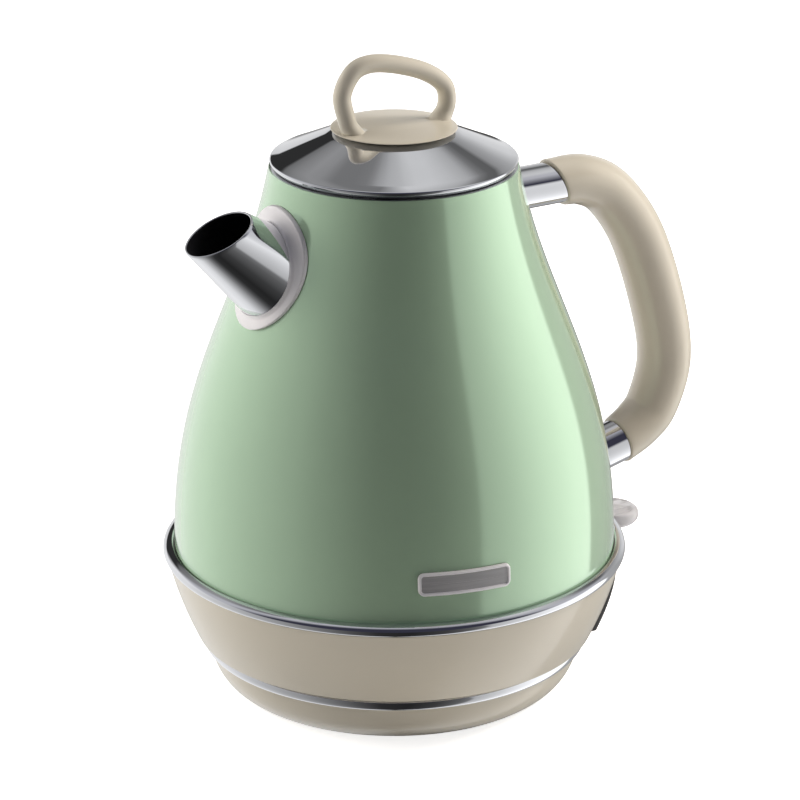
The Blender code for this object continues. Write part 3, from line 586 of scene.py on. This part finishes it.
def body():
    outside = bezier(BODY_CURVE, 64)
    inside = [(point.x - BODY_WALL, point.y) for point in bezier(BODY_CURVE, 40)][:-1]
    top_r, top_z = BODY_TOP
    roll = [(top_r - 0.15, top_z - 0.1), (top_r - 0.6, top_z), (MOUTH_R + 0.4, top_z), (MOUTH_R, top_z - 0.4),
            (MOUTH_R, top_z - BODY_WALL), (top_r - BODY_WALL - 0.2, top_z - BODY_WALL)]
    start = [(BODY_EDGE[0] - BODY_WALL, BODY_HIDDEN_Z), (BODY_EDGE[0], BODY_HIDDEN_Z)]
    side = [tuple(point) for point in outside[:-1]]
    outline = [*start, *side, (top_r, top_z - 0.5), *roll, *reversed(inside)]
    painted = len(start) + len(outside) + 1
    finishes = (FINISH["painted_green"], FINISH["stainless_steel"])
    shell = fine("body_shell", turn_rows(outline), finishes=finishes,
                 material_of=lambda index: 0 if 1 <= index < painted else 1)
    bore_start, bore_end = spout_place(-25.0, 0.0, 0.0), spout_place(15.0, 0.0, 0.0)
    cut(shell, cylinder("cut_bore", bore_start, bore_end, SPOUT_HOLE_R, 64))


def trim_rings():
    low = TRIM_RING_FACE[0][1]
    inner = BODY_EDGE[0] + 0.4
    face = [tuple(point) for point in bezier(TRIM_RING_FACE, 20)]
    fine("body_trim_ring", turn_rows([(inner, low), *face, (inner, TRIM_RING_TOP_Z)]))
    low, high = BASE_RING_Z
    edge = BASE_RING_R - 0.9
    bulge = BASE_RING_R + 0.3
    inner = BASE_RING_R - 4.1
    points = [(edge, low), (bulge, low + 0.5), (bulge, high - 0.5), (edge, high)]
    face = [tuple(point) for point in bezier(points, 14)]
    fine("base_trim_ring", turn_rows([(inner, low), *face, (inner, high)]))


def skirt():
    outside = [tuple(point) for point in bezier(SKIRT_CURVE, 28)]
    inside = [(point.x - SKIRT_WALL, point.y) for point in bezier(SKIRT_CURVE, 12)]
    top = SKIRT_CURVE[-1][1]
    inner = BODY_EDGE[0] - 5.0
    under = top - 1.6
    outline = [inside[0], *outside, (inner, top), (inner, under), (inside[-1][0] - 0.4, under),
               *reversed(inside[1:-1])]
    cut(fine("skirt", turn_rows(outline)), slot_cutter("cut_skirt"))


def slot_cutter(name):
    return box(name, (60.0, -SLOT_HALF_Y, SLOT_Z[0]), (96.0, SLOT_HALF_Y, SLOT_Z[1]))


def patch(name, outlines, place, finishes, material_of=None):
    """A raised closed patch on a curved surface. Each outline comes with its height above the surface."""
    rows = [[place(a, b, height) for a, b in outline] for outline, height in outlines]
    return build(name, rows, closed_rows=False, caps=True, finishes=finishes, material_of=material_of)


def rear_panel():
    """A dark arch on the skirt's rear, with softened edges and the slot for the switch."""
    centre_z = 33.0

    def arch(scale):
        low = SKIRT_CURVE[0][1] + 0.1
        width = PANEL_HALF_WIDTH
        points = [(width * (2 * step / 24 - 1), low) for step in range(24)]
        for step in range(41):
            angle = pi * step / 40
            points.append((width * cos(angle), low + PANEL_RISE * max(sin(angle), 0.0) ** 0.75))
        return [(a * scale, centre_z + (b - centre_z) * scale) for a, b in points[:-1]]

    def place(a, b, height):
        radius = skirt_radius(b) + height
        return (sqrt(max(radius * radius - a * a, 1.0)), a, b)

    top = GAP + PANEL_THICKNESS
    shrinking = [1.0 - 0.09 * step for step in range(1, 11)]
    back = [(arch(scale), GAP) for scale in reversed(shrinking)]
    edge = [(arch(1.0), GAP), (arch(1.0), top - 0.3), (arch(0.996), top - 0.08), (arch(0.988), top)]
    front = [(arch(scale), top) for scale in shrinking]
    panel = patch("fine_rear_panel", back + edge + front, place, (FINISH["black_plastic"],))
    stands_for(panel, "rear_panel")
    cut(panel, slot_cutter("cut_panel"))


# ---------------------------------------------------------------- spout

def spout_place(along, up, across):
    """A place in the spout's own frame."""
    s, z = SPOUT_FOOT
    return (-(s + along * cos(SPOUT_RISE) - up * sin(SPOUT_RISE)), across,
            z + along * sin(SPOUT_RISE) + up * cos(SPOUT_RISE))


def spout_radius(along):
    return SPOUT_ROOT_R + (SPOUT_MOUTH_R - SPOUT_ROOT_R) * along / SPOUT_LENGTH


def on_spout(angle, along, grow=0.0):
    radius = spout_radius(along) + grow
    return spout_place(along, radius * cos(angle), radius * sin(angle))


def mouth_station(angle, grow=0.0):
    slope = (SPOUT_MOUTH_R - SPOUT_ROOT_R) / SPOUT_LENGTH
    lean = tan(SPOUT_CUT)
    radius = (SPOUT_MOUTH_R + grow) / (1 - slope * lean * cos(angle))
    return SPOUT_LENGTH + lean * radius * cos(angle)


def spout_foot_station(angle, offset):
    return reach_body(lambda along: on_spout(angle, along), -14.0, 22.0, offset)


def spout():
    """The tube from the body's surface to a rounded lip."""
    around = 128
    angles = [2 * pi * step / around for step in range(around)]
    outer, inner = [], []
    for part in range(25):
        share = part / 24
        row = []
        for angle in angles:
            foot = spout_foot_station(angle, GAP)
            row.append(on_spout(angle, foot + (mouth_station(angle) - 0.35 - foot) * share))
        outer.append(row)
        row = []
        for angle in angles:
            foot = spout_foot_station(angle, GAP)
            row.append(on_spout(angle, foot + (mouth_station(angle) - 0.35 - foot) * share, -SPOUT_WALL))
        inner.append(row)
    lip = []
    for step in range(1, 8):
        turn = pi * step / 8
        grow = -SPOUT_WALL / 2 * (1 - cos(turn))
        rise = 0.35 * sin(turn) - 0.35
        lip.append([on_spout(angle, mouth_station(angle) + rise, grow) for angle in angles])
    rim_end = len(outer) + len(lip)
    # the tube's inner faces take the bore's painted-shade colour
    fine("spout_tube", outer + lip + list(reversed(inner)), finishes=(FINISH["chrome"], SHADED_BORE),
         material_of=lambda index: 1 if rim_end <= index < rim_end + len(inner) else 0)


def on_wall(y, z, offset):
    """A place on the spout side of the body, moved out by an offset."""
    radius = body_radius(z) + offset
    return Vector((-sqrt(max(radius * radius - y * y, 1.0)), y, z))


def collar():
    """A wide, slightly domed flange that follows the body and meets the tube in a small fillet."""
    around = 128
    columns = []
    for step in range(around):
        angle = 2 * pi * step / around
        foot = spout_foot_station(angle, COLLAR_THICKNESS)
        on_tube = Vector(on_spout(angle, foot + 1.5, 0.08))
        corner = Vector(on_spout(angle, foot, 0.08))
        edge = (COLLAR_HALF_WIDTH * sin(angle), COLLAR_Z + COLLAR_R * cos(angle))

        def across(share, height):
            """From the tube's foot to the flange's edge, on the body."""
            y = corner.y + (edge[0] - corner.y) * share
            z = corner.z + (edge[1] - corner.z) * share
            return on_wall(y, z, height)

        flat = across(0.2, COLLAR_THICKNESS)
        column = [tuple(point) for point in bezier([on_tube, corner, flat], 10)]
        for share in (0.35, 0.5, 0.65, 0.8):
            column.append(tuple(across(share, COLLAR_THICKNESS - COLLAR_DOME * share ** 2)))
        shoulder = COLLAR_THICKNESS - COLLAR_DOME * 0.9 ** 2
        for turn in range(7):
            angle_down = pi / 2 * turn / 6
            share = 0.93 + 0.07 * sin(angle_down)
            column.append(tuple(across(share, GAP + (shoulder - GAP) * cos(angle_down))))
        column += [tuple(across(share, GAP)) for share in (0.7, 0.35)]
        column.append(tuple(on_spout(angle, spout_foot_station(angle, GAP), 0.08)))
        columns.append(column)
    fine("spout_collar", [list(row) for row in zip(*columns)], SATIN)


# ---------------------------------------------------------------- handle

def upper_axis(along):
    return Vector((along, UPPER_ROOT_Z))


def lower_axis(along):
    return Vector((LOWER_END[0] + along * cos(LOWER_RISE), LOWER_END[1] + along * sin(LOWER_RISE)))


def lengths_along(path):
    total = [0.0]
    for a, b in zip(path, path[1:]):
        total.append(total[-1] + (b - a).length)
    return total


def at_length(path, lengths, distance):
    for index in range(len(path) - 1):
        if distance <= lengths[index + 1]:
            share = (distance - lengths[index]) / (lengths[index + 1] - lengths[index])
            return path[index].lerp(path[index + 1], share)
    return path[-1]


def oval_row(place, ahead, sizes, lean=0.0, around=64):
    side_way = Vector((-ahead.y, ahead.x))
    row = []
    for step in range(around):
        angle = 2 * pi * step / around
        spot = place + (side_way + ahead * lean) * sizes[0] * cos(angle)
        row.append((spot.x, sizes[1] * sin(angle), spot.y))
    return row


def grip():
    path = smooth_path(GRIP_POINTS, 14)
    arriving = path[-2] - path[-1]
    lower_cut = atan2(arriving.y, arriving.x) - LOWER_RISE
    lengths = lengths_along(path)
    total = lengths[-1]
    softening = 0.7
    near = [0.0, 0.05, 0.15, 0.3, 0.5, softening]
    middle = [softening + (total - 2 * softening) * step / 90 for step in range(1, 90)]
    rows = []
    for distance in near + middle + [total - value for value in reversed(near)]:
        place = at_length(path, lengths, distance)
        further = at_length(path, lengths, min(distance + 1.5, total))
        nearer = at_length(path, lengths, max(distance - 1.5, 0))
        ahead = (further - nearer).normalized()
        share = distance / total
        swell = GRIP_SWELL * max(sin(pi * share), 0.0) ** 0.6
        from_end = min(distance, total - distance)
        inset = 0.0
        if from_end < softening:
            inset = softening - sqrt(softening ** 2 - (softening - from_end) ** 2)
        lean = tan(UPPER_CUT) * max(1.0 - distance / 12.0, 0.0)
        lean += tan(lower_cut) * max(1.0 - (total - distance) / 12.0, 0.0)
        sizes = [size + swell - inset for size in GRIP_END]
        rows.append(oval_row(place, ahead, sizes, lean))
    fine("handle_grip", rows, closed_rows=False, caps=True)


def ferrule(node, axis_at, inside, outside, end, sizes, lean):
    """A plated oval sleeve from the body's surface to the grip's end."""
    around, wall = 64, 1.4
    ahead = (axis_at(1.0) - axis_at(0.0)).normalized()
    side_way = Vector((-ahead.y, ahead.x))
    skins = []
    for shrink in (0.0, wall):
        thick, wide = sizes[0] - shrink, sizes[1] - shrink
        columns = []
        for step in range(around):
            angle = 2 * pi * step / around

            def place_at(along):
                spot = axis_at(along) + side_way * thick * cos(angle)
                return (spot.x, wide * sin(angle), spot.y)

            start = reach_body(place_at, inside, outside, GAP)
            finish = end + lean * thick * cos(angle)
            columns.append([place_at(start + (finish - start) * part / 12) for part in range(13)])
        skins.append([list(row) for row in zip(*columns)])
    fine(node, skins[0] + list(reversed(skins[1])))


def ferrules():
    ferrule("handle_ferrule_upper", upper_axis, 30.0, 66.0, UPPER_END_X - 0.4, FERRULE_UPPER, tan(UPPER_CUT))
    ferrule("handle_ferrule_lower", lower_axis, -50.0, -3.0, -0.4, FERRULE_LOWER, 0.0)


# ---------------------------------------------------------------- lid

def lid_cover():
    low, high = LID_LIP_Z
    edge = LID_LIP_R - 1.6
    lip = [tuple(point) for point in bezier([(edge, low), (LID_LIP_R + 0.5, low + LID_LIP_RISE),
                                             (LID_LIP_R + 0.4, high), CONE_FOOT], 14)]
    top_r, top = CONE_TOP
    foot_r, foot = CONE_FOOT
    slant = [(foot_r + (top_r - foot_r) * step / 8, foot + (top - foot) * step / 8) for step in range(1, 9)]
    outline = [*lip, *slant, (6.4, top), (6.4, top - 1.0), (top_r - 0.3, top - 1.0),
               (foot_r - 0.6, foot - 1.1), (edge, foot - 1.1)]
    fine("lid_cover", turn_rows(outline))


def lid_inside():
    """A pressed cup with a groove round it, and the seal that sits in the groove."""
    low, high = SEAL_Z
    groove_r = SEAL_R - GAP
    turned("lid_liner", [(LID_HOLE_R, 197.0), (LINER_R, 197.0), (LINER_R, low - GAP), (groove_r, low - GAP),
                         (groove_r, high + GAP), (LINER_R, high + GAP), (LINER_R, 204.0),
                         (LINER_R - 2.6, 204.0), (LINER_R - 3.6, 198.5), (LID_HOLE_R, 198.5)])
    turned("lid_seal", [(SEAL_R, low), (LINER_R, low), (MOUTH_R - GAP, (low + high) / 2), (LINER_R, high),
                        (SEAL_R, high)])


def knob():
    """A thin disc with a stem, and a loop whose feet spread into it."""
    low, high = KNOB_Z
    flat_r = KNOB_R - 0.5
    top = [(flat_r - flat_r * step / 10, high + KNOB_DOME * sin(pi / 2 * step / 10)) for step in range(10)]
    rim = [(KNOB_R - 4.0, low), (flat_r, low + 0.65), (KNOB_R, low + 0.9), (KNOB_R - 0.15, low + 1.1)]
    outline = [(LID_HOLE_R, STEM_FOOT_Z), (STEM_R, STEM_FOOT_Z), (STEM_R, low), *rim, *top,
               (0, high + KNOB_DOME), (0, SCREW_TOP_Z), (LID_HOLE_R, SCREW_TOP_Z)]
    disc = build("fine_lid_knob", turn_rows(outline), finishes=(FINISH["cream_plastic"],))
    path = smooth_path(LOOP_POINTS, 10)
    lengths = lengths_along(path)
    rows = []
    for step in range(97):
        distance = lengths[-1] * step / 96
        place = at_length(path, lengths, distance)
        ahead = at_length(path, lengths, distance + 0.8) - at_length(path, lengths, max(distance - 0.8, 0))
        ahead.normalize()
        from_end = min(distance, lengths[-1] - distance)
        upright = Vector((0.0, copysign(1.0, ahead.y)))
        ahead = upright.lerp(ahead, min(from_end / 5.0, 1.0)).normalized()
        spread = 1.3 * max(1.0 - from_end / 4.5, 0.0) ** 2
        inward = Vector((-copysign(spread, place.x), 0.0))
        rows.append(oval_row(place + inward, ahead, (LOOP_R + spread, LOOP_R + spread), 0.0, 40))
    loop = build("join_loop", rows, closed_rows=False, caps=True)
    stands_for(cut(disc, loop, operation="UNION"), "lid_knob")
    disc.data.shade_smooth()
    disc.data.set_sharp_from_angle(angle=radians(50))


# ---------------------------------------------------------------- badge and switch

def rounded_box(width, height, corner, steps=6):
    outline = []
    for sign_x, sign_y, start in ((1, 1, 0), (-1, 1, 90), (-1, -1, 180), (1, -1, 270)):
        centre = (sign_x * (width / 2 - corner), sign_y * (height / 2 - corner))
        for step in range(steps + 1):
            angle = radians(start + 90 * step / steps)
            outline.append((centre[0] + corner * cos(angle), centre[1] + corner * sin(angle)))
        if sign_y == 1 and sign_x == 1 or sign_y == -1 and sign_x == -1:
            span = sign_x * (width / 2 - corner)
            outline += [(span * (1 - 2 * step / 20), sign_y * height / 2) for step in range(1, 20)]
    return outline


def badge():
    """A plain plate with a raised rim round a brushed field."""
    def ring(inset):
        width, height = BADGE_SIZE
        return rounded_box(width - 2 * inset, height - 2 * inset, max(BADGE_CORNER - inset, 0.01))

    def place(a, b, height):
        z = BADGE_Z + b
        radius = body_radius(z) + height
        angle = BADGE_AZIMUTH + a / radius
        return (radius * cos(angle), radius * sin(angle), z)

    insets = (0.0, 0.0, 0.15, 0.4, 0.8, 1.0, 1.15)
    heights = (GAP, 1.15, 1.42, 1.5, 1.45, 1.15, 0.95)
    rim = [(ring(inset), height) for inset, height in zip(insets, heights)]
    inward = [1.6, 2.4, 3.2, 4.0, 4.28]
    field = [(ring(inset), 0.95) for inset in inward]
    back = [(ring(inset), GAP) for inset in reversed(inward)]
    first_field = len(back) + len(rim) - 1
    plate = patch("fine_badge_plate", back + rim + field, place, (SATIN, BADGE_FIELD),
                  lambda index: 1 if index >= first_field else 0)
    stands_for(plate, "badge_plate")


def lever():
    """A clear paddle with lengthwise ribs and a softened edge, on its arm."""
    centre_x = 90.0

    def outline(scale):
        points = []
        for step in range(41):
            angle = radians(-140 + 280 * step / 40)
            points.append((PADDLE_CENTRE_X + PADDLE_R * cos(angle), PADDLE_R * sin(angle)))
        neck, tail = PADDLE_CENTRE_X - 9.0, LEVER_PIVOT[0] - 8.4
        points += [(neck + (tail - neck) * step / 12, ARM_HALF_Y) for step in range(13)]
        points += [(tail, ARM_HALF_Y * (1 - 2 * step / 8)) for step in range(1, 8)]
        points += [(tail + (neck - tail) * step / 12, -ARM_HALF_Y) for step in range(13)]
        return [(centre_x + (x - centre_x) * scale, y * scale) for x, y in points]

    def side(sign):
        rows = []
        for scale, height in ((1.0, 0.9), (0.985, 1.8), (0.94, 2.6), (0.9, LEVER_HALF_Z)):
            rows.append([(x, y, LEVER_PIVOT[1] + sign * height) for x, y in outline(scale)])
        for part in range(1, 13):
            row = []
            for x, y in outline(0.9 - 0.07 * part):
                rib = 0.9 * (0.5 - 0.5 * cos(2 * pi * y / 4.2)) if x > LEVER_PIVOT[0] + 14 else 0.0
                row.append((x, y, LEVER_PIVOT[1] + sign * (LEVER_HALF_Z - rib)))
            rows.append(row)
        return rows

    rows = list(reversed(side(-1))) + side(1)
    piece = fine("switch_lever", rows, closed_rows=False, caps=True)
    x, z = LEVER_PIVOT
    cut(piece, cylinder("cut_pivot", (x, -20, z), (x, 20, z), 1.8))


# ---------------------------------------------------------------- base, floor and connector

def base_shell():
    outer = [tuple(point) for point in bezier(BASE_CURVE, 20)]
    deck_r = BASE_RING_R - 4.4
    plate_r = BASE_PLATE_R + GAP
    outline = [*outer, (deck_r, outer[-1][1]), (deck_r, BASE_DECK_Z), (COLUMN_R + GAP, BASE_DECK_Z),
               (COLUMN_R + GAP, BASE_DECK_Z - 2.0), (deck_r - 2.0, BASE_DECK_Z - 2.0), (deck_r - 2.0, 13.0),
               (BASE_CURVE[-1][0] - 4.0, 11.0), (plate_r + 1.5, 3.0), (plate_r, 2.6), (plate_r, 0.0)]
    shell = fine("base_shell", turn_rows(outline))
    cut(shell, cylinder("cut_cord_hole", gland_place(50.0), gland_place(80.0), 5.8, 48))


def gland_place(radius):
    angle = radians(90 + BASE_TURN)
    return Vector((radius * cos(angle), radius * sin(angle), GLAND_Z))


def gland():
    """A short ribbed sleeve that the cord would leave by."""
    start, end = (gland_place(radius) for radius in GLAND_REACH)
    turn = (end - start).to_track_quat("Z", "Y")
    length = (end - start).length
    outline = [(CORD_BORE_R, 0.0), (5.5, 0.0)]
    outline += [(5.5 - 0.25 * (step % 2), 9.0 + 0.5 * step) for step in range(4)]
    outline += [(5.1, length - 0.1), (4.7, length), (CORD_BORE_R + 0.2, length), (CORD_BORE_R, length - 0.3)]
    around = 48
    rows = []
    for radius, along in outline:
        row = []
        for step in range(around):
            angle = 2 * pi * step / around
            row.append(start + turn @ Vector((radius * cos(angle), radius * sin(angle), along)))
        rows.append(row)
    fine("cord_gland", rows)


def places_round(count, radius, start):
    """Places evenly round the axis, as the screws and the feet are."""
    angles = [radians(start + 360 * index / count) for index in range(count)]
    return [(radius * cos(angle), radius * sin(angle)) for angle in angles]


def underside():
    feet = places_round(5, FOOT_RING_R, BASE_TURN - 90)
    plate = fine("base_bottom_plate", turn_rows(rounded([(0, 0.0), (BASE_PLATE_R, 0.0), (BASE_PLATE_R, 2.2),
                                                         (0, 2.2)], 0.3)))
    cutters = [cylinder(f"cut_foot_{index}", (*spot, -2.0), (*spot, 1.2), FOOT_R + GAP, 40)
               for index, spot in enumerate(feet)]
    for index, spot in enumerate(places_round(3, SCREW_RING_R, 30.0)):
        cutters.append(cylinder(f"cut_shank_{index}", (*spot, -1.0), (*spot, 3.0), 1.8, 24))
        cutters.append(cylinder(f"cut_head_{index}", (*spot, -1.0), (*spot, 1.3), 3.3, 32))
    cut(plate, *cutters)
    bottom = TABLE_Z / MM
    for index, spot in enumerate(feet, 1):
        outline = [(0, bottom), (FOOT_R, bottom), (FOOT_R, 0.8), (0, 0.8)]
        turned(f"base_foot_{index}", outline, 0.5, centre=spot, around=48)


def connectors():
    top = COLUMN_TOP_Z
    foot_z, flange_z = COLUMN_FOOT_Z
    slot_in, slot_out = COLUMN_SLOT_R
    outline = [(0, foot_z), (COLUMN_FLANGE_R, foot_z), (COLUMN_FLANGE_R, flange_z), (COLUMN_R, flange_z),
               (COLUMN_R, top), (slot_out, top), (slot_out, 18.0), (slot_in, 18.0), (slot_in, top),
               (COLUMN_HOLE_R, top), (COLUMN_HOLE_R, 16.0), (0, 16.0)]
    column = turned("base_connector", outline, 1.2, around=96)
    cut(column, *[cylinder(f"cut_boss_{index}", (*spot, 1.0), (*spot, 7.5), 1.8, 24)
                  for index, spot in enumerate(places_round(3, SCREW_RING_R, 30.0))])
    well = COLUMN_R + 0.6
    outline = [(well, 21.2), (24.4, 21.2), (24.4, 38.4), (0, 38.4), (0, 34.5), (well, 34.5)]
    turned("connector_socket", outline, 0.4, around=96)
    turned("socket_pin", [(0, 20.0), (2.4, 21.5), (2.4, 34.2), (0, 34.2)], 0.4, around=32)
    turned("socket_contact_ring", [(8.8, 22.0), (9.9, 22.0), (9.9, 34.2), (8.8, 34.2)], 0.2, around=64)
    turned("skirt_bottom_cover", [(25.0, 20.9), (73.9, 20.9), (73.9, 22.9), (25.0, 22.9)], 0.4)


# ---------------------------------------------------------------- filter and kept nodes

def filter_mesh():
    """A fine woven plate in the filter's frame: crossing wires, each a closed bar."""
    half_width, low, high, thick = 12.1, -16.3, 12.3, 0.32
    pitch = 1.1

    def place(across, up, out):
        x, z = FILTER_PLACE
        return (x + up * sin(FILTER_LEAN) - out * cos(FILTER_LEAN), across,
                z + up * cos(FILTER_LEAN) + out * sin(FILTER_LEAN))

    shape = bmesh.new()

    def bar(low_corner, high_corner):
        corners = []
        for across in (low_corner[0], high_corner[0]):
            for up in (low_corner[1], high_corner[1]):
                for out in (low_corner[2], high_corner[2]):
                    corners.append(shape.verts.new(Vector(place(across, up, out)) * MM))
        for face in ((0, 1, 3, 2), (4, 6, 7, 5), (0, 4, 5, 1), (2, 3, 7, 6), (0, 2, 6, 4), (1, 5, 7, 3)):
            shape.faces.new([corners[index] for index in face])

    count = int(2 * half_width / pitch)
    for index in range(count + 1):
        across = -half_width + thick / 2 + (2 * half_width - thick) * index / count
        bar((across - thick / 2, low, -0.3), (across + thick / 2, high, 0.02))
    count = int((high - low) / pitch)
    for index in range(count + 1):
        up = low + thick / 2 + (high - low - thick) * index / count
        bar((-half_width, up - thick / 2, -0.02), (half_width, up + thick / 2, 0.3))
    bmesh.ops.recalc_face_normals(shape, faces=shape.faces)
    mesh = bpy.data.meshes.new("fine_filter_mesh")
    shape.to_mesh(mesh)
    shape.free()
    mesh.materials.append(FINISH["stainless_steel"])
    piece = bpy.data.objects.new("fine_filter_mesh", mesh)
    bpy.context.scene.collection.objects.link(piece)
    stands_for(piece, "filter_mesh")


def kept_nodes():
    """CAD nodes whose shape is right get a finish, and the boxy mouldings a softened edge."""
    moulded = ("filter_frame", "filter_holder", "switch_bracket", "trip_lever", "steam_thermostat")
    for name, node in frame["nodes"].items():
        finish = FINISH[SLOT_OF[name]]
        for place in node.material_slots:
            place.material = finish
        if name in moulded:
            soften = node.modifiers.new("Soft edges", "BEVEL")
            soften.width = 0.25 * MM
            soften.segments = 2
            soften.limit_method = "ANGLE"


# ---------------------------------------------------------------- studio

def camera():
    made = bpy.data.objects.new("camera", bpy.data.cameras.new("camera"))
    bpy.context.scene.collection.objects.link(made)
    made.location = CAMERA_PLACE
    made.rotation_euler = (CAMERA_TILT, 0.0, CAMERA_AZIMUTH)
    made.data.lens = CAMERA_LENS
    made.data.clip_start = 0.05
    bpy.context.scene.camera = made


def studio():
    """Soft light from both sides that fades towards the front, and a lighter and a darker field behind."""
    world = bpy.data.worlds.new("studio")
    bpy.context.scene.world = world
    world.use_nodes = True
    tree = world.node_tree
    direction = tree.nodes.new("ShaderNodeTexCoord").outputs["Generated"]
    parts = tree.nodes.new("ShaderNodeSeparateXYZ")
    turn = tree.nodes.new("ShaderNodeVectorRotate")
    turn.rotation_type = "Z_AXIS"
    turn.inputs["Angle"].default_value = -CAMERA_AZIMUTH
    tree.links.new(direction, turn.inputs["Vector"])
    tree.links.new(turn.outputs["Vector"], parts.inputs["Vector"])
    right, away, up = (parts.outputs[axis] for axis in "XYZ")
    azimuth = calculate(tree, "ARCTAN2", right, calculate(tree, "MULTIPLY", away, -1.0))
    round_share = calculate(tree, "ADD", calculate(tree, "DIVIDE", azimuth, 2 * pi), 0.5)
    around = ramp(tree, round_share, [((angle + 180) / 360, value) for angle, value in LIGHT_ROUND])
    height = calculate(tree, "ADD", calculate(tree, "MULTIPLY", up, 0.5), 0.5)
    overhead = blend(tree, between(tree, away, -0.25, 0.10), OVERHEAD_FRONT, OVERHEAD)
    front = blend(tree, between(tree, up, 0.36, 0.52), around, overhead)
    back = [ramp(tree, height, [((level + 1) / 2, value) for level, value in field])
            for field in (LIGHT_BACK_LEFT, LIGHT_BACK_RIGHT)]
    behind = blend(tree, between(tree, right, -0.05, 0.05), *back)
    sideways = calculate(tree, "ABSOLUTE", right)
    share = calculate(tree, "MULTIPLY", between(tree, away, 0.15, 0.35), between(tree, up, -0.12, -0.05))
    inward = calculate(tree, "SUBTRACT", 1.0, between(tree, sideways, 0.45, 0.65))
    share = calculate(tree, "MULTIPLY", share, inward)
    light = tree.nodes["Background"]
    tree.links.new(blend(tree, share, front, behind), light.inputs["Color"])
    white = tree.nodes.new("ShaderNodeBackground")
    white.inputs["Color"].default_value = (1.0, 1.0, 1.0, 1.0)
    rays = tree.nodes.new("ShaderNodeLightPath")
    mix = tree.nodes.new("ShaderNodeMixShader")
    tree.links.new(rays.outputs["Is Camera Ray"], mix.inputs["Fac"])
    tree.links.new(light.outputs["Background"], mix.inputs[1])
    tree.links.new(white.outputs["Background"], mix.inputs[2])
    tree.links.new(mix.outputs["Shader"], tree.nodes["World Output"].inputs["Surface"])


def floor():
    """A plain pale floor. Reflections look through it to the studio, as they would over a small table."""
    reach = 4.0
    mesh = bpy.data.meshes.new("floor")
    signs = ((-1, -1), (1, -1), (1, 1), (-1, 1))
    mesh.from_pydata([(reach * x, reach * y, TABLE_Z) for x, y in signs], [], [(0, 1, 2, 3)])
    made = bpy.data.objects.new("floor", mesh)
    bpy.context.scene.collection.objects.link(made)
    surface = Nodes("pale_floor")
    surface.shader.inputs["Emission Color"].default_value = (1.0, 1.0, 1.0, 1.0)
    surface.colour(surface.noise(3.0), (0.90, 0.90, 0.90), (0.92, 0.92, 0.92))
    surface.shader.inputs["Roughness"].default_value = 0.7
    rays = surface.tree.nodes.new("ShaderNodeLightPath")
    glow = calculate(surface.tree, "MULTIPLY_ADD", rays.outputs["Is Camera Ray"], 0.72, 0.03)
    surface.link(glow, surface.shader.inputs["Emission Strength"])
    clear = surface.tree.nodes.new("ShaderNodeBsdfTransparent")
    mix = surface.tree.nodes.new("ShaderNodeMixShader")
    surface.link(rays.outputs["Is Glossy Ray"], mix.inputs["Fac"])
    surface.link(surface.shader.outputs["BSDF"], mix.inputs[1])
    surface.link(clear.outputs["BSDF"], mix.inputs[2])
    surface.link(mix.outputs["Shader"], surface.tree.nodes["Material Output"].inputs["Surface"])
    mesh.materials.append(surface.material)


def soft_light(name, place, aim, size, power, colour):
    data = bpy.data.lights.new(name, "AREA")
    data.size = size
    data.energy = power
    data.color = colour
    made = bpy.data.objects.new(name, data)
    bpy.context.scene.collection.objects.link(made)
    made.location = place
    made.rotation_euler = (Vector(aim) - Vector(place)).to_track_quat("-Z", "Y").to_euler()
    made.visible_glossy = False


camera()
studio()
floor()
soft_light("key", (1.03, -0.23, 0.9), (0, 0, 0.1), 0.7, 16.0, (1.0, 0.91, 0.82))
soft_light("fill", (-0.9, 0.68, 0.5), (0, 0, 0.1), 0.8, 9.0, (1.0, 0.93, 0.85))
kept_nodes()
body()
trim_rings()
skirt()
rear_panel()
spout()
collar()
grip()
ferrules()
lid_cover()
lid_inside()
knob()
badge()
lever()
base_shell()
gland()
underside()
connectors()
filter_mesh()

bpy.context.scene.view_settings.view_transform = "Standard"
